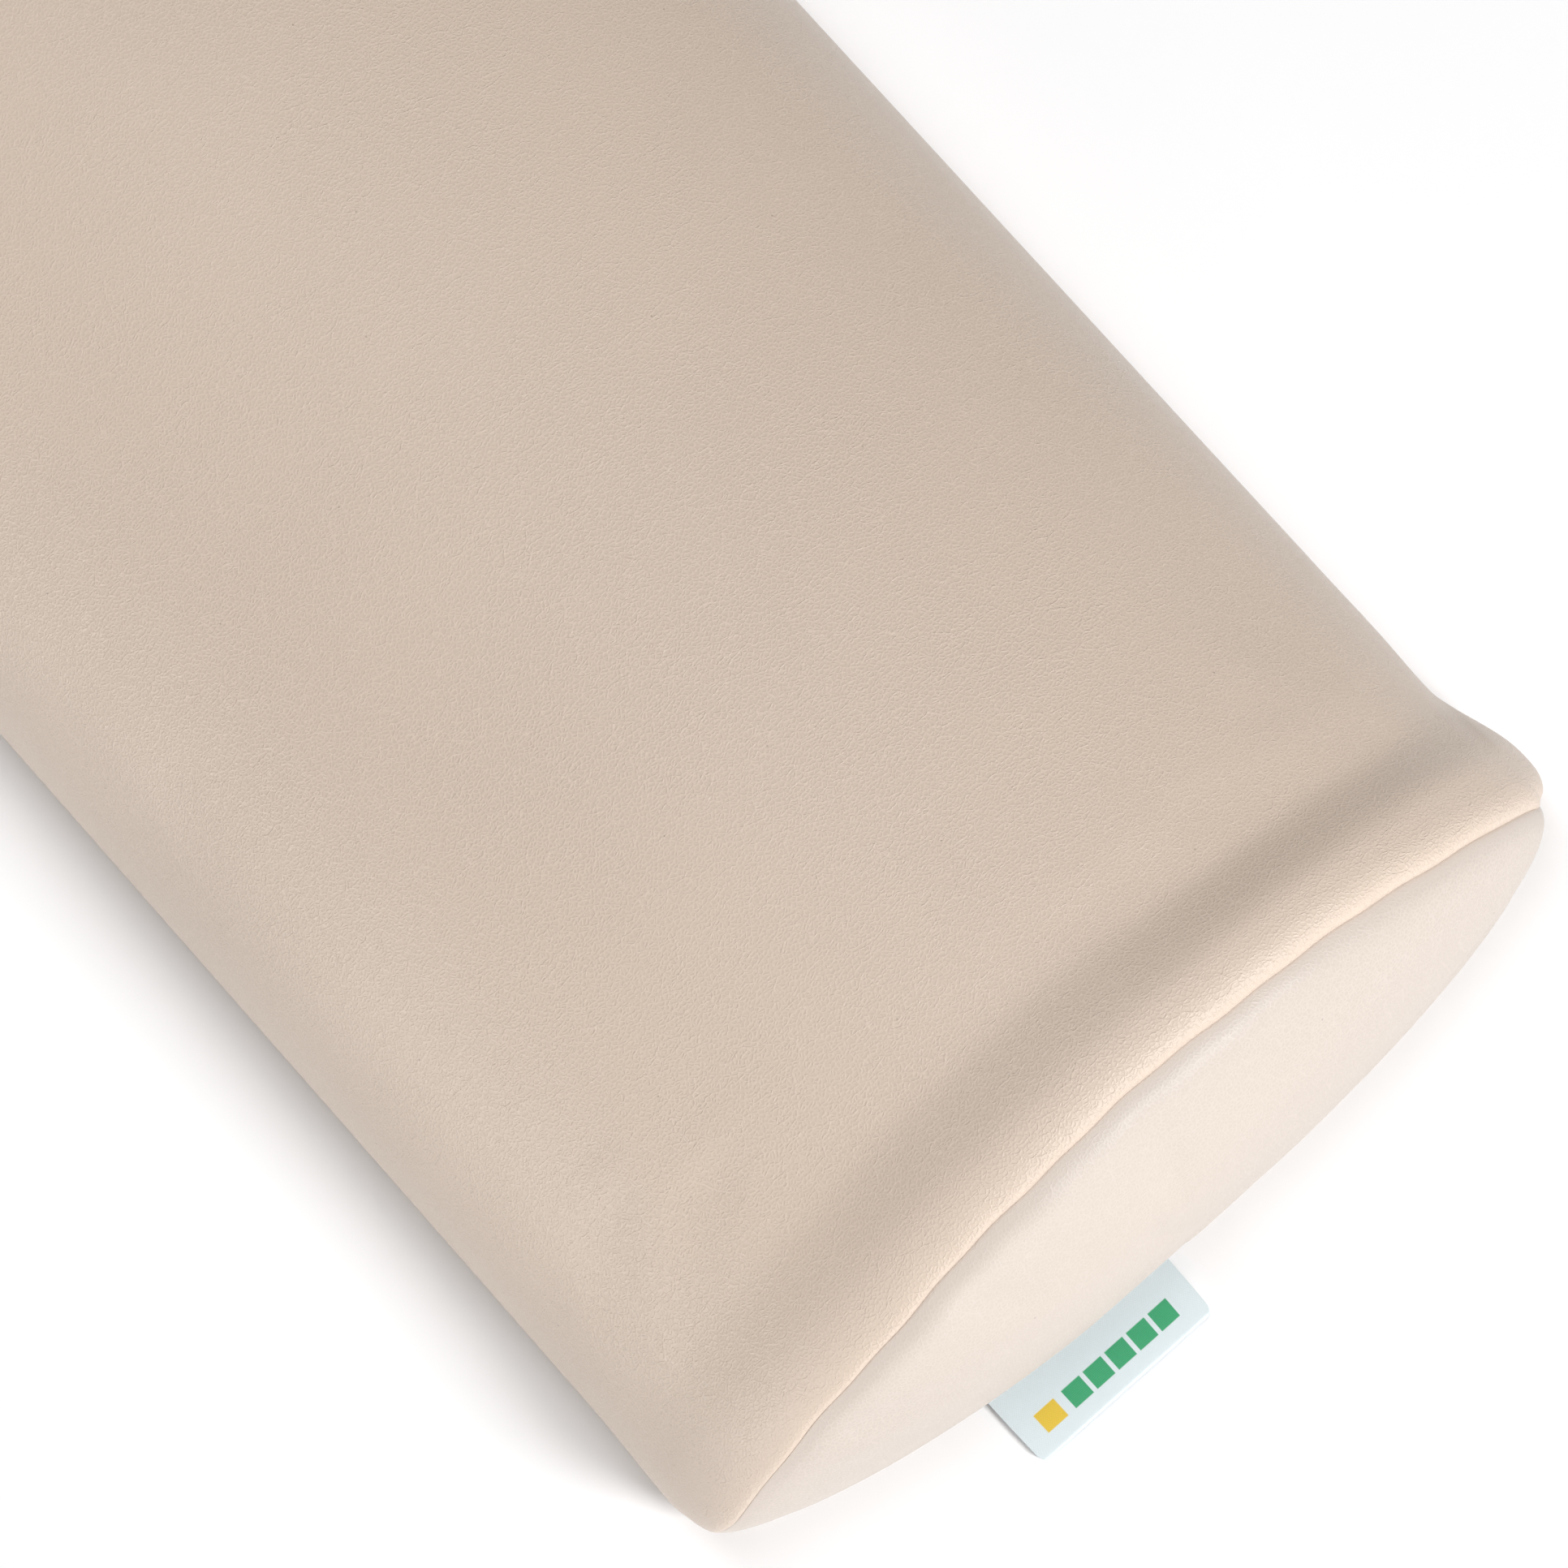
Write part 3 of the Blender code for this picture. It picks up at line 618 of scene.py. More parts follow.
class CUSHION_OT_cover(bpy.types.Operator):
    """Makes the panel that goes over the arch and under the base, and both domed end panels"""

    bl_idname = "cushion.cover"
    bl_label = "Cover"

    def execute(self, context):
        settings, fill = context.scene.cushion_cover, context.scene.cushion_fill
        self.make_wrap(settings, fill)
        ring = closed_ring(settings)
        for name, side in (("right", 1), ("left", -1)):
            self.make_panel(settings, fill, ring, name, side)
        return {"FINISHED"}

    def make_wrap(self, settings, fill):
        ring = section(settings, (6, 10, 6, 10, 150, 40))
        grid = wrap_points(settings, ring)
        loose = smooth_step((grid[..., 2] - 0.006) / 0.02) * smooth_step((END_X - 0.014 - np.abs(grid[..., 0])) / 0.04)
        grid = swollen(fill, grid, loose, (91, 97), fill.most_swell, fill.seed)
        rows, columns = grid.shape[:2]
        far = np.concatenate([[0], np.cumsum(np.linalg.norm(np.diff(grid[:, columns // 2], axis=0), axis=1))])
        uv = np.stack(np.broadcast_arrays(ring["far"][None, :], far[:, None]), -1).reshape(-1, 2)
        # near_seam is 1 at the end seam and 0 from 30 mm in; the leatherette uses it for a painted highlight on the
        # rim
        end = 1 - smooth_step((END_X - np.abs(grid[..., 0]).ravel()) / 0.03)
        faces = grid_faces(rows, columns)
        finishes = finish("leatherette"), finish("knit_backing")
        wrap = add_piece("cover_skin", grid.reshape(-1, 3), [faces], finishes, uv, {"near_seam": end})
        solidify(wrap, settings.thickness, inner=1)
        round_edges(wrap, settings.thickness * 0.4)
        stand_for(wrap, "cover_wrap")

    def make_panel(self, settings, fill, ring, name, side):
        """One end panel, whose UV runs out from its peak along each spoke by the length along the surface."""
        grid, peak = panel_points(settings, ring, side, 34)
        row = np.arange(len(grid))
        loose = smooth_step((row - 6) / 10)[:, None] * (grid[..., 2] > 0)
        loose = loose * smooth_step((len(grid) - 1 - row) / 6)[:, None]
        whole, loose = (np.concatenate([part, part[:, :1]], 1) for part in (grid, loose))
        grid = swollen(fill, whole, loose, (30, 90), fill.most_dome, fill.seed + 2 + side)[:, :-1]
        rows, columns = grid.shape[:2]
        faces = grid_faces(rows, columns, closed=True)
        last = (rows - 1) * columns + np.arange(columns)
        fan = np.stack([last, np.roll(last, -1), np.full(columns, rows * columns)], -1)
        if side < 0:
            faces, fan = faces[:, ::-1], fan[:, ::-1]
        path = np.linalg.norm(np.diff(grid[::-1], axis=0, prepend=grid[-1:]), axis=-1)
        reach = np.cumsum(path, axis=0)[::-1]
        spoke = grid[5, :, 1:] - peak[0, 1:]
        spoke /= np.linalg.norm(spoke, axis=-1)[:, None]
        uv = np.concatenate([(spoke[None] * reach[..., None]).reshape(-1, 2), [[0, 0]]])
        depth = np.concatenate([np.repeat(row, columns), [rows]])
        # near_seam is 1 by the seam and fades over the dome's first rows; the leatherette uses it for a painted
        # highlight by the rim
        marks = {"near_seam": 1 - smooth_step((depth - 4) / 8)}
        points = np.concatenate([grid.reshape(-1, 3), peak])
        finishes = finish("leatherette_panel"), finish("knit_backing")
        panel = add_piece(f"end_skin_{name}", points, [faces, fan], finishes, uv, marks)
        solidify(panel, settings.thickness, inner=1)
        stand_for(panel, f"end_panel_{name}")


# Foam core


class CUSHION_OT_foam(bpy.types.Operator):
    """Makes the one-piece foam core, which follows the cover's inside"""

    bl_idname = "cushion.foam"
    bl_label = "Foam core"

    def execute(self, context):
        """The cover's section, drawn in, runs to where the ends start; from there it shrinks towards the crown by s,
        and stands out by its reach * (1 - s ** 2) ** 0.55, as the end panels do."""
        settings = context.scene.cushion_cover
        start = END_X - context.scene.cushion_fill.dome_start
        inset = HALF_WIDTH - FOAM_HIGH.y
        ring = section(settings, (6, 10, 6, 10, 120, 30))
        ring = {name: values[:-1] for name, values in ring.items()}
        turn = np.linspace(0, math.pi / 2, 19)
        share = np.concatenate([np.cos(turn[:0:-1]), np.ones(60), np.cos(turn[1:])]).clip(0.002)
        reach = (FOAM_HIGH.x - start) * (1 - share**2) ** 0.55
        x = np.concatenate([-start - reach[:18], np.linspace(-start, start, 60), start + reach[-18:]])
        deep = settings.recess_depth * smooth_step((END_X - np.abs(x) - settings.recess_end) / settings.recess_run)
        y = ring["y"] - inset * ring["out_y"]
        z = deep[:, None] * ring["depth"] + ring["z"] - inset * ring["out_z"]
        crown = settings.crown_height
        grid = np.stack([
            np.broadcast_to(x[:, None], z.shape), share[:, None] * y[None], crown + share[:, None] * (z - crown)
        ], -1)
        foam = add_tube("foam_block", [grid], "foam")
        stand_for(foam, "foam_core")
        return {"FINISHED"}


# Stitching


class CUSHION_OT_stitching(bpy.types.Operator):
    """Makes the lock stitches of both end seams and beside both zip tapes"""

    bl_idname = "cushion.stitching"
    bl_label = "Stitching"

    def execute(self, context):
        cover, trim = context.scene.cushion_cover, context.scene.cushion_trim
        profile = circle(trim.thread / 2, 6)
        ring = section(cover, (3, 3, 3, 40, 500, 120))
        depth = END_X - (SEAM_THREAD_LOW.x + SEAM_THREAD_HIGH.x) / 2
        for name, side in (("right", 1), ("left", -1)):
            rise = flare(ring, side)[0]
            tucked = tuck(rise, lip(cover, rise, ring)) - cover.seam_gap / 2
            out = cover.thickness + trim.thread / 2
            far = np.full(len(rise), depth)
            middle, above, below = (outline_at(cover, ring, side, far, tucked + shift) for shift in (0, out, -out))
            tubes = [
                carried(profile, stitched(face, middle, trim.seam_stitch, closed=True), (1, 0, 0), closed=True)
                for face in (above, below)
            ]
            stitches = add_tube(f"end_stitches_{name}", tubes, "thread", closed=True)
            stand_for(stitches, f"end_seam_thread_{name}")

        outer = cover.recess_depth - trim.thread / 2
        inner = TAPE_HIGH.z + trim.thread / 2
        for name in ("rear", "front"):
            low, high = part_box(f"zip_seam_thread_{name}")
            lines = [np.array([[x, (low.y + high.y) / 2, z] for x in (low.x, high.x)]) for z in (outer, inner)]
            middle = sum(lines) / 2
            tubes = [carried(profile, stitched(line, middle, trim.zip_stitch), (0, 1, 0)) for line in lines]
            stand_for(add_tube(f"zip_stitches_{name}", tubes, "thread"), f"zip_seam_thread_{name}")
        return {"FINISHED"}


# Zip


class CUSHION_OT_zip(bpy.types.Operator):
    """Makes the woven tapes, the nylon coils, the slider and its puller, and gives the stops their finish"""

    bl_idname = "cushion.zip"
    bl_label = "Zip"

    def execute(self, context):
        trim = context.scene.cushion_trim
        for name, side in (("rear", 1), ("front", -1)):
            low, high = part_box(f"zip_tape_{name}")
            self.make_tape(name, side, low, high)
            low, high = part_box(f"zip_coil_{name}")
            self.make_coil(name, side, low, high, trim)
        for node in ("zip_top_stop_rear", "zip_top_stop_front", "zip_bottom_stop"):
            for slot in bpy.data.objects[node].material_slots:
                slot.material = finish("nickel")
        self.make_slider(trim)
        self.make_puller(trim)
        return {"FINISHED"}

    def make_slider(self, trim):
        """Two tapered plates with side flanges, a neck between the coils and an arched bail for the puller."""
        low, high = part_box("zip_slider")
        wide = (high.y - low.y) / 2
        half = (high.x - low.x) / 2
        plate, edge = trim.slider_plate, trim.slider_edge
        face = COIL_LOW.z - trim.clear - plate
        flange = trim.flange / 2
        place = np.array([(low.x + high.x) / 2, ZIP_Y, 0])
        body = rounded(half, wide, 7, 0.10)
        rail = rounded(half * 0.94, flange, 5)
        tubes = [slab(body, face, face + plate, edge), slab(body, high.z - plate, high.z, edge)]
        for side in (1, -1):
            tubes.append(slab(
                rail + [0, side * (wide * 0.93 - flange)], face + plate / 2, TAPE_LOW.z - trim.clear, edge * 0.6
            ))
        neck = rounded(*NECK, 6) + [-half + NECK[0] + 0.0001, 0]
        tubes.append(slab(neck, face + plate / 2, high.z - plate / 2, 0.0001))
        turn = np.linspace(0, math.pi, 41)
        foot = face + plate / 2
        path = np.stack([
            BAIL_REACH * np.sign(np.cos(turn)) * np.abs(np.cos(turn)) ** 0.6, 0 * turn,
            foot - (foot - low.z - BAIL_BAR[0]) * np.sin(turn).clip(0) ** 0.6
        ], -1)
        tubes.append(carried(rounded(*BAIL_BAR, 4)[:, ::-1], path, (0, 0, 1)))
        slider = add_tube("zip_runner", [tube + place for tube in tubes], "nickel")
        stand_for(slider, "zip_slider", "slider")

    def make_puller(self, trim):
        """A tab that widens towards its rounded tip, round an oblong eye, with a shallow dished face.

        The tab's outline and the eye's are both taken along the same rays from the eye's middle.
        """
        low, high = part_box("zip_puller")
        thick = (high.z - low.z) / 2
        start, end = low.x, high.x
        eye = np.array([start + 2 * thick + trim.eye_length / 2, ZIP_Y])
        half = (end - start) / 2
        outer = rounded(half, (high.y - low.y) / 2 * 0.89, 7, -0.125, 200) + [(start + end) / 2, ZIP_Y] - eye
        angle = np.arctan2(outer[:, 1], outer[:, 0])
        ring = rounded(trim.eye_length / 2, trim.eye_width / 2, 4, 0, 400)
        ring_angle = np.arctan2(ring[:, 1], ring[:, 0])
        reach = np.interp(angle, ring_angle, np.hypot(*ring.T), period=2 * math.pi)
        inner = reach[:, None] * np.stack([np.cos(angle), np.sin(angle)], -1)
        turn = np.linspace(0, math.pi / 2, 4)
        rows = []
        for outline, kind in ((outer, 1), (inner, -1)):
            size = np.hypot(*outline.T)[:, None]
            for sign, turns in ((1, turn), (-1, turn[::-1])) if kind > 0 else ((-1, turn), (1, turn[::-1])):
                for t in turns:
                    shrink = kind * PULLER_EDGE * (1 - math.sin(t))
                    height = sign * (thick - PULLER_EDGE * (1 - math.cos(t)))
                    rows.append((outline * (1 - shrink / size), height))
        grid = np.stack([np.column_stack([flat + eye, np.full(len(flat), height)]) for flat, height in rows], 1)
        grid[..., 2] += (low.z + high.z) / 2
        puller = add_tube("zip_pull_tab", [grid], "nickel", closed=True)
        stand_for(puller, "zip_puller", "puller")

    def make_tape(self, name, side, low, high):
        """A flat band with a rounded cord along the edge at the coil; its ends are cut square."""
        half = (high.z - low.z) / 2
        width = high.y - low.y
        across = np.linspace(0, 1, 25)
        cord = np.exp(-(((across - 0.035) / 0.03) ** 2)) + 0.6 * np.exp(-(((across - 0.97) / 0.025) ** 2))
        tall = half * (0.62 + 0.38 * cord)
        inner = low.y if side > 0 else high.y
        y = inner + side * width * across
        middle = (low.z + high.z) / 2
        outline_y = np.concatenate([y, y[::-1]])
        outline_z = middle + np.concatenate([tall, -tall[::-1]])
        x = np.linspace(low.x, high.x, 67)
        grid = np.stack(np.broadcast_arrays(x[:, None], outline_y[None], outline_z[None]), -1)
        uv = grid.reshape(-1, 3)[:, [1, 0]]
        tape = add_tube(f"zip_band_{name}", [grid], "zip_tape", uv)
        stand_for(tape, f"zip_tape_{name}")

    def make_coil(self, name, side, low, high, trim):
        """A helix: once round its flattened circle for each pitch along X, with a round wire carried along it."""
        wire = trim.coil_wire / 2
        turns = round((high.x - low.x - 2 * wire) / trim.coil_pitch)
        at = np.linspace(0, turns, turns * 10 + 1)
        angle = at * 2 * math.pi
        path = np.stack([
            low.x + wire + (high.x - low.x - 2 * wire) * at / turns,
            (low.y + high.y) / 2 + side * ((high.y - low.y) / 2 - wire) * np.cos(angle),
            (low.z + high.z) / 2 + ((high.z - low.z) / 2 - wire) * np.sin(angle),
        ], -1)
        coil = add_tube(f"zip_spiral_{name}", [carried(circle(wire, 5), path, (1, 0, 0))], "zip_coil")
        stand_for(coil, f"zip_coil_{name}")


# Label


class CUSHION_OT_label(bpy.types.Operator):
    """Makes the folded ribbon label that comes out of the end seam"""

    bl_idname = "cushion.label"
    bl_label = "Label"

    def execute(self, context):
        """A ribbon's middle surface: out of the seam, round a half circle and back under itself.

        Its width is bowed out a little along its length, and rounded off by a quarter circle at the fold.
        """
        trim = context.scene.cushion_trim
        radius = (trim.fold - trim.ribbon) / 2
        end = LABEL_HIGH.x - trim.ribbon / 2 - radius
        start = LABEL_LOW.x - LABEL_ROOT
        run = np.linspace(0, 1, 30)
        bend = np.linspace(0, math.pi, 13)[1:-1]
        x = np.concatenate([start + (end - start) * run, end + radius * np.sin(bend), end - (end - start) * run])
        level = LABEL_LEVEL - LABEL_DROOP * smooth_step((x - start) / 0.02)
        apart = radius * (0.42 + 0.58 * smooth_step((x - start - 0.006) / 0.018))
        turn = np.concatenate([np.ones(30), np.cos(bend), -np.ones(30)])
        reach = LABEL_HIGH.x - trim.ribbon_corner
        corner = np.sqrt(1 - np.clip((x - reach) / (trim.ribbon_corner * 1.02), 0, 1) ** 2)
        half = (LABEL_HIGH.y - LABEL_LOW.y) / 2 - 0.0004
        bowed = 0.0003 * np.sin(np.pi * np.clip((x - start) / (end - start), 0, 1))
        wide = half + bowed - trim.ribbon_corner * (1 - corner)
        across = np.sin(np.linspace(-math.pi / 2, math.pi / 2, 41))
        middle = (LABEL_LOW.y + LABEL_HIGH.y) / 2
        beyond = x[:, None] - start - 0.004
        curl = LABEL_CURL * smooth_step((across[None] - 0.5) / 0.5) * smooth_step(beyond / 0.012)
        wave = LABEL_WAVE * np.sin(3.1 * across[None] + 90 * x[:, None])
        grid = np.stack(np.broadcast_arrays(
            x[:, None], middle + wide[:, None] * across[None], (level + apart * turn)[:, None] + curl + wave
        ), -1)
        path = np.stack([x, level + apart * turn], -1)
        far = np.concatenate([[0], np.cumsum(np.linalg.norm(np.diff(path, axis=0), axis=1))])
        far = far - far[35]
        uv = np.stack(np.broadcast_arrays(half * across[None], -far[:, None]), -1).reshape(-1, 2)
        faces = grid_faces(*grid.shape[:2])
        label = add_piece("ribbon_label", grid.reshape(-1, 3), [faces[:, ::-1]], (finish("label_ribbon"),), uv)
        solidify(label, trim.ribbon, offset=0)
        round_edges(label, trim.ribbon * 0.3)
        stand_for(label, "loop_label")
        return {"FINISHED"}


# Finishes


def put(tree, kind, settings=None, **sockets):
    """A node of this kind, whose named sockets take a value or another node's output."""
    node = tree.nodes.new(f"ShaderNode{kind}")
    for name, value in (settings or {}).items():
        setattr(node, name, value)
    for name, value in sockets.items():
        join(tree, value, node.inputs[name.replace("_", " ")])
    return node


def join(tree, value, socket):
    if isinstance(value, bpy.types.NodeSocket):
        tree.links.new(value, socket)
    else:
        socket.default_value = value


def maths(tree, operation, *values):
    """The output of a Math node."""
    node = tree.nodes.new("ShaderNodeMath")
    node.operation = operation
    for value, socket in zip(values, node.inputs):
        join(tree, value, socket)
    return node.outputs[0]


def vector(tree, operation, first, second):
    """The output of a Vector Math node."""
    node = put(tree, "VectorMath", {"operation": operation})
    join(tree, first, node.inputs[0])
    join(tree, second, node.inputs[1])
    return node.outputs[0]


def mix(tree, share, first, second):
    """The first colour at a share of 0, and the second at 1."""
    node = tree.nodes.new("ShaderNodeMix")
    node.data_type = "RGBA"
    for value, socket in zip((share, first, second), (node.inputs[0], node.inputs[6], node.inputs[7])):
        join(tree, value, socket)
    return node.outputs[2]


def ramp(tree, value, low, high, to_low=0.0, to_high=1.0):
    """The value mapped smoothly from one range to another."""
    node = put(tree, "MapRange", {"interpolation_type": "SMOOTHSTEP"}, Value=value)
    for name, number in (("From Min", low), ("From Max", high), ("To Min", to_low), ("To Max", to_high)):
        node.inputs[name].default_value = number
    return node.outputs[0]


def new_group(name, inputs, outputs):
    """An empty shader node group with these float inputs and outputs."""
    group = bpy.data.node_groups.new(name, "ShaderNodeTree")
    for socket, kind in inputs:
        group.interface.new_socket(socket, in_out="INPUT", socket_type=kind)
    for socket, kind in outputs:
        group.interface.new_socket(socket, in_out="OUTPUT", socket_type=kind)
    return group, group.nodes.new("NodeGroupInput"), group.nodes.new("NodeGroupOutput")


def use(tree, group, **sockets):
    node = tree.nodes.new("ShaderNodeGroup")
    node.node_tree = bpy.data.node_groups[group]
    for name, value in sockets.items():
        join(tree, value, node.inputs[name.replace("_", " ")])
    return node


def build_grain():
    """Pebbled leather grain: a net of fine raised wrinkles round small cells, crossed by longer wrinkles.

    Both nets lie on a place that wanders at every scale, and the fine one is broken into short lengths.
    """
    group, given, made = new_group(
        "leather_grain", [("Place", "NodeSocketVector"), ("Fade", "NodeSocketFloat")],
        [("Height", "NodeSocketFloat"), ("Ridge", "NodeSocketFloat")],
    )
    place, fade = given.outputs["Place"], given.outputs["Fade"]
    flat = {"noise_dimensions": "2D"}
    warp = put(group, "TexNoise", flat, Vector=place, Scale=0.45, Detail=3.0, Roughness=0.55)
    shift = vector(group, "SUBTRACT", warp.outputs["Color"], (0.5, 0.5, 0.5))
    moved = vector(group, "ADD", place, vector(group, "MULTIPLY", shift, (1.2, 1.2, 1.2)))
    edges = {"voronoi_dimensions": "2D", "feature": "DISTANCE_TO_EDGE"}
    cells = put(group, "TexVoronoi", edges, Vector=moved, Scale=1.0, Randomness=0.95)
    stretched = put(group, "Mapping", Vector=moved, Scale=(0.20, 0.42, 1), Rotation=(0, 0, 0.25))
    folds = put(group, "TexVoronoi", edges, Vector=stretched.outputs[0], Scale=1.0, Randomness=1.0)
    ridge = ramp(group, cells.outputs["Distance"], 0.0, 0.30, 1.0, 0.0)
    fold = ramp(group, folds.outputs["Distance"], 0.0, 0.09, 1.0, 0.0)
    breaks = put(group, "TexNoise", flat, Vector=place, Scale=0.9, Detail=1.0)
    ridge = maths(group, "MULTIPLY", ridge, ramp(group, breaks.outputs["Fac"], 0.35, 0.6, 0.6, 1.0))
    spans = put(group, "TexNoise", flat, Vector=place, Scale=0.16, Detail=1.0)
    fold = maths(group, "MULTIPLY", fold, ramp(group, spans.outputs["Fac"], 0.4, 0.6, 0.1, 1.0))
    waves = put(group, "TexNoise", flat, Vector=place, Scale=2.2, Detail=2.0, Roughness=0.5)
    patch = put(group, "TexNoise", flat, Vector=place, Scale=0.02, Detail=2.0)
    strength = ramp(group, patch.outputs["Fac"], 0.3, 0.7, 0.75, 1.0)
    height = maths(group, "MULTIPLY_ADD", fold, 0.42, maths(group, "MULTIPLY", ridge, 0.58))
    height = maths(group, "MULTIPLY_ADD", waves.outputs["Fac"], 0.25, height)
    height = maths(group, "MULTIPLY", height, maths(group, "MULTIPLY", strength, fade))
    join(group, height, made.inputs["Height"])
    join(group, maths(group, "MAXIMUM", ridge, fold), made.inputs["Ridge"])


def start_material(name, base, **sockets):
    """A material's node tree and its shader, which has this colour and these plain values."""
    material = bpy.data.materials.new(FINISH + name)
    material.use_nodes = True
    tree = material.node_tree
    shader = tree.nodes["Principled BSDF"]
    shader.inputs["Base Color"].default_value = (*base, 1)
    for socket, value in sockets.items():
        shader.inputs[socket.replace("_", " ")].default_value = value
    return tree, shader


def finish(name):
    return bpy.data.materials[FINISH + name]


def surface(tree):
    """A place on the piece's own UV map, in metres."""
    return put(tree, "UVMap", {"uv_map": "UVMap"}).outputs[0]


def inside(tree):
    """A place in the object's own frame, in metres."""
    return put(tree, "TexCoord").outputs["Object"]


def times(base, *factors):
    """The colour times one factor, or times one for each channel, as the four values of a socket."""
    return (*np.minimum(1, np.array(base) * factors).tolist(), 1)


def bump(tree, shader, height, distance):
    join(tree, put(tree, "Bump", Height=height, Distance=distance, Strength=1.0).outputs[0], shader.inputs["Normal"])


def make_leather(settings, name, base, depth):
    tree, shader = start_material(name, base, Roughness=0.5, Specular_IOR_Level=0.5)
    shader.inputs["Sheen Weight"].default_value = 0.12
    shader.inputs["Sheen Roughness"].default_value = 0.4
    uv = surface(tree)
    cells = put(tree, "Mapping", Vector=uv, Scale=(1 / settings.grain_across, 1 / settings.grain_along, 1)).outputs[0]
    grain = use(tree, "leather_grain", Place=cells, Fade=1.0)
    tone = put(tree, "TexNoise", {"noise_dimensions": "2D"}, Vector=uv, Scale=9.0, Detail=3.0)
    tint = ramp(tree, tone.outputs["Fac"], 0.3, 0.7)
    shade = mix(tree, tint, times(base, 0.97, 0.965, 0.955), times(base, 1.025, 1.02, 1.0))
    # Painted highlight: the colour is made paler towards the end seams, where the light catches the rolled rim
    seam = put(tree, "Attribute", {"attribute_name": "near_seam"}).outputs["Fac"]
    stretched = maths(tree, "MULTIPLY", ramp(tree, seam, 0.55, 1.0), 0.8)
    shade = mix(tree, stretched, shade, times(base, 1.13))
    # Painted highlight: the grain's raised ridges are made paler, standing in for their lit sides
    ridge = maths(tree, "MULTIPLY", grain.outputs["Ridge"], 0.8)
    shade = mix(tree, ridge, shade, times(base, 1.10))
    specks = put(tree, "TexVoronoi", {"voronoi_dimensions": "2D"}, Vector=uv, Scale=21.0)
    speck = ramp(tree, specks.outputs["Distance"], 0.0025, 0.0050, 0.5, 0.0)
    shade = mix(tree, speck, shade, times(base, 0.35))
    join(tree, shade, shader.inputs["Base Color"])
    rough = maths(tree, "MULTIPLY_ADD", grain.outputs["Ridge"], -0.06, 0.5)
    join(tree, rough, shader.inputs["Roughness"])
    bump(tree, shader, grain.outputs["Height"], depth)


def make_backing(settings):
    tree, shader = start_material("knit_backing", settings.backing, Roughness=0.95, Specular_IOR_Level=0.2)
    uv = surface(tree)
    loops = put(tree, "Mapping", Vector=uv, Scale=(900, 1300, 1)).outputs[0]
    knit = put(tree, "TexVoronoi", {"voronoi_dimensions": "2D"}, Vector=loops, Scale=1.0, Randomness=0.25)
    bump(tree, shader, knit.outputs["Distance"], 0.0003)


def make_foam(settings):
    tree, shader = start_material("foam", settings.foam, Roughness=0.95, Specular_IOR_Level=0.2)
    place = inside(tree)
    pores = put(tree, "TexVoronoi", Vector=place, Scale=1600.0)
    hollows = put(tree, "TexNoise", Vector=place, Scale=420.0, Detail=3.0)
    depth = maths(tree, "MULTIPLY_ADD", hollows.outputs["Fac"], 0.6, pores.outputs["Distance"])
    # Painted shade: the foam is darker in its pores, where its bump is lowest
    tone = ramp(tree, pores.outputs["Distance"], 0.15, 0.6)
    join(tree, mix(tree, tone, times(settings.foam, 0.72), times(settings.foam, 1)), shader.inputs["Base Color"])
    bump(tree, shader, depth, 0.0005)


def make_thread(settings):
    tree, shader = start_material("thread", settings.thread, Roughness=0.6, Specular_IOR_Level=0.4)
    place = inside(tree)
    twist = put(tree, "TexWave", {"bands_direction": "DIAGONAL"}, Vector=place, Scale=900.0, Distortion=0.4)
    # Painted shade: the thread is darker in the twist's grooves, where its bump is lowest
    tint = mix(tree, twist.outputs["Fac"], times(settings.thread, 0.78), times(settings.thread, 1))
    join(tree, tint, shader.inputs["Base Color"])
    bump(tree, shader, twist.outputs["Fac"], 0.0001)


def build_weave():
    """A plain weave: threads that go over and under each other, one way and the other, from a place in threads."""
    group, given, made = new_group(
        "plain_weave", [("Place", "NodeSocketVector")], [("Height", "NodeSocketFloat"), ("Gap", "NodeSocketFloat")]
    )
    split = put(group, "SeparateXYZ", Vector=given.outputs["Place"])
    over, under = (
        maths(group, "SINE", maths(group, "MULTIPLY", split.outputs[axis], math.pi)) for axis in ("X", "Y")
    )
    waves = [maths(group, "ABSOLUTE", sine) for sine in (over, under)]
    turn = maths(group, "MULTIPLY_ADD", maths(group, "MULTIPLY", over, under), 0.5, 0.5)
    height = maths(group, "MULTIPLY", maths(group, "MAXIMUM", *waves), maths(group, "MULTIPLY_ADD", turn, 0.5, 0.5))
    join(group, height, made.inputs["Height"])
    gap = maths(group, "MULTIPLY", *waves)
    join(group, ramp(group, gap, 0.0, 0.35, 1.0, 0.0), made.inputs["Gap"])


def make_tape(settings):
    tree, shader = start_material("zip_tape", settings.tape, Roughness=0.85, Specular_IOR_Level=0.25)
    uv = surface(tree)
    threads = put(tree, "Mapping", Vector=uv, Scale=(2500, 1800, 1)).outputs[0]
    weave = use(tree, "plain_weave", Place=threads)
    # Painted shade: the tape is darker in the gaps between its threads
    painted_gap_shade = maths(tree, "MULTIPLY", weave.outputs["Gap"], 0.5)
    shade = mix(tree, painted_gap_shade, times(settings.tape, 1), times(settings.tape, 0.6))
    join(tree, shade, shader.inputs["Base Color"])
    bump(tree, shader, weave.outputs["Height"], 0.00012)


def make_coil(settings):
    tree, shader = start_material("zip_coil", settings.coil, Roughness=0.35, Specular_IOR_Level=0.5)
    place = inside(tree)
    grains = put(tree, "TexNoise", Vector=place, Scale=2500.0, Detail=2.0)
    join(tree, ramp(tree, grains.outputs["Fac"], 0.2, 0.8, 0.28, 0.45), shader.inputs["Roughness"])
    tint = put(tree, "TexNoise", Vector=place, Scale=60.0)
    shade = mix(tree, tint.outputs["Fac"], times(settings.coil, 0.92), times(settings.coil, 1.05))
    join(tree, shade, shader.inputs["Base Color"])
    bump(tree, shader, grains.outputs["Fac"], 0.00002)


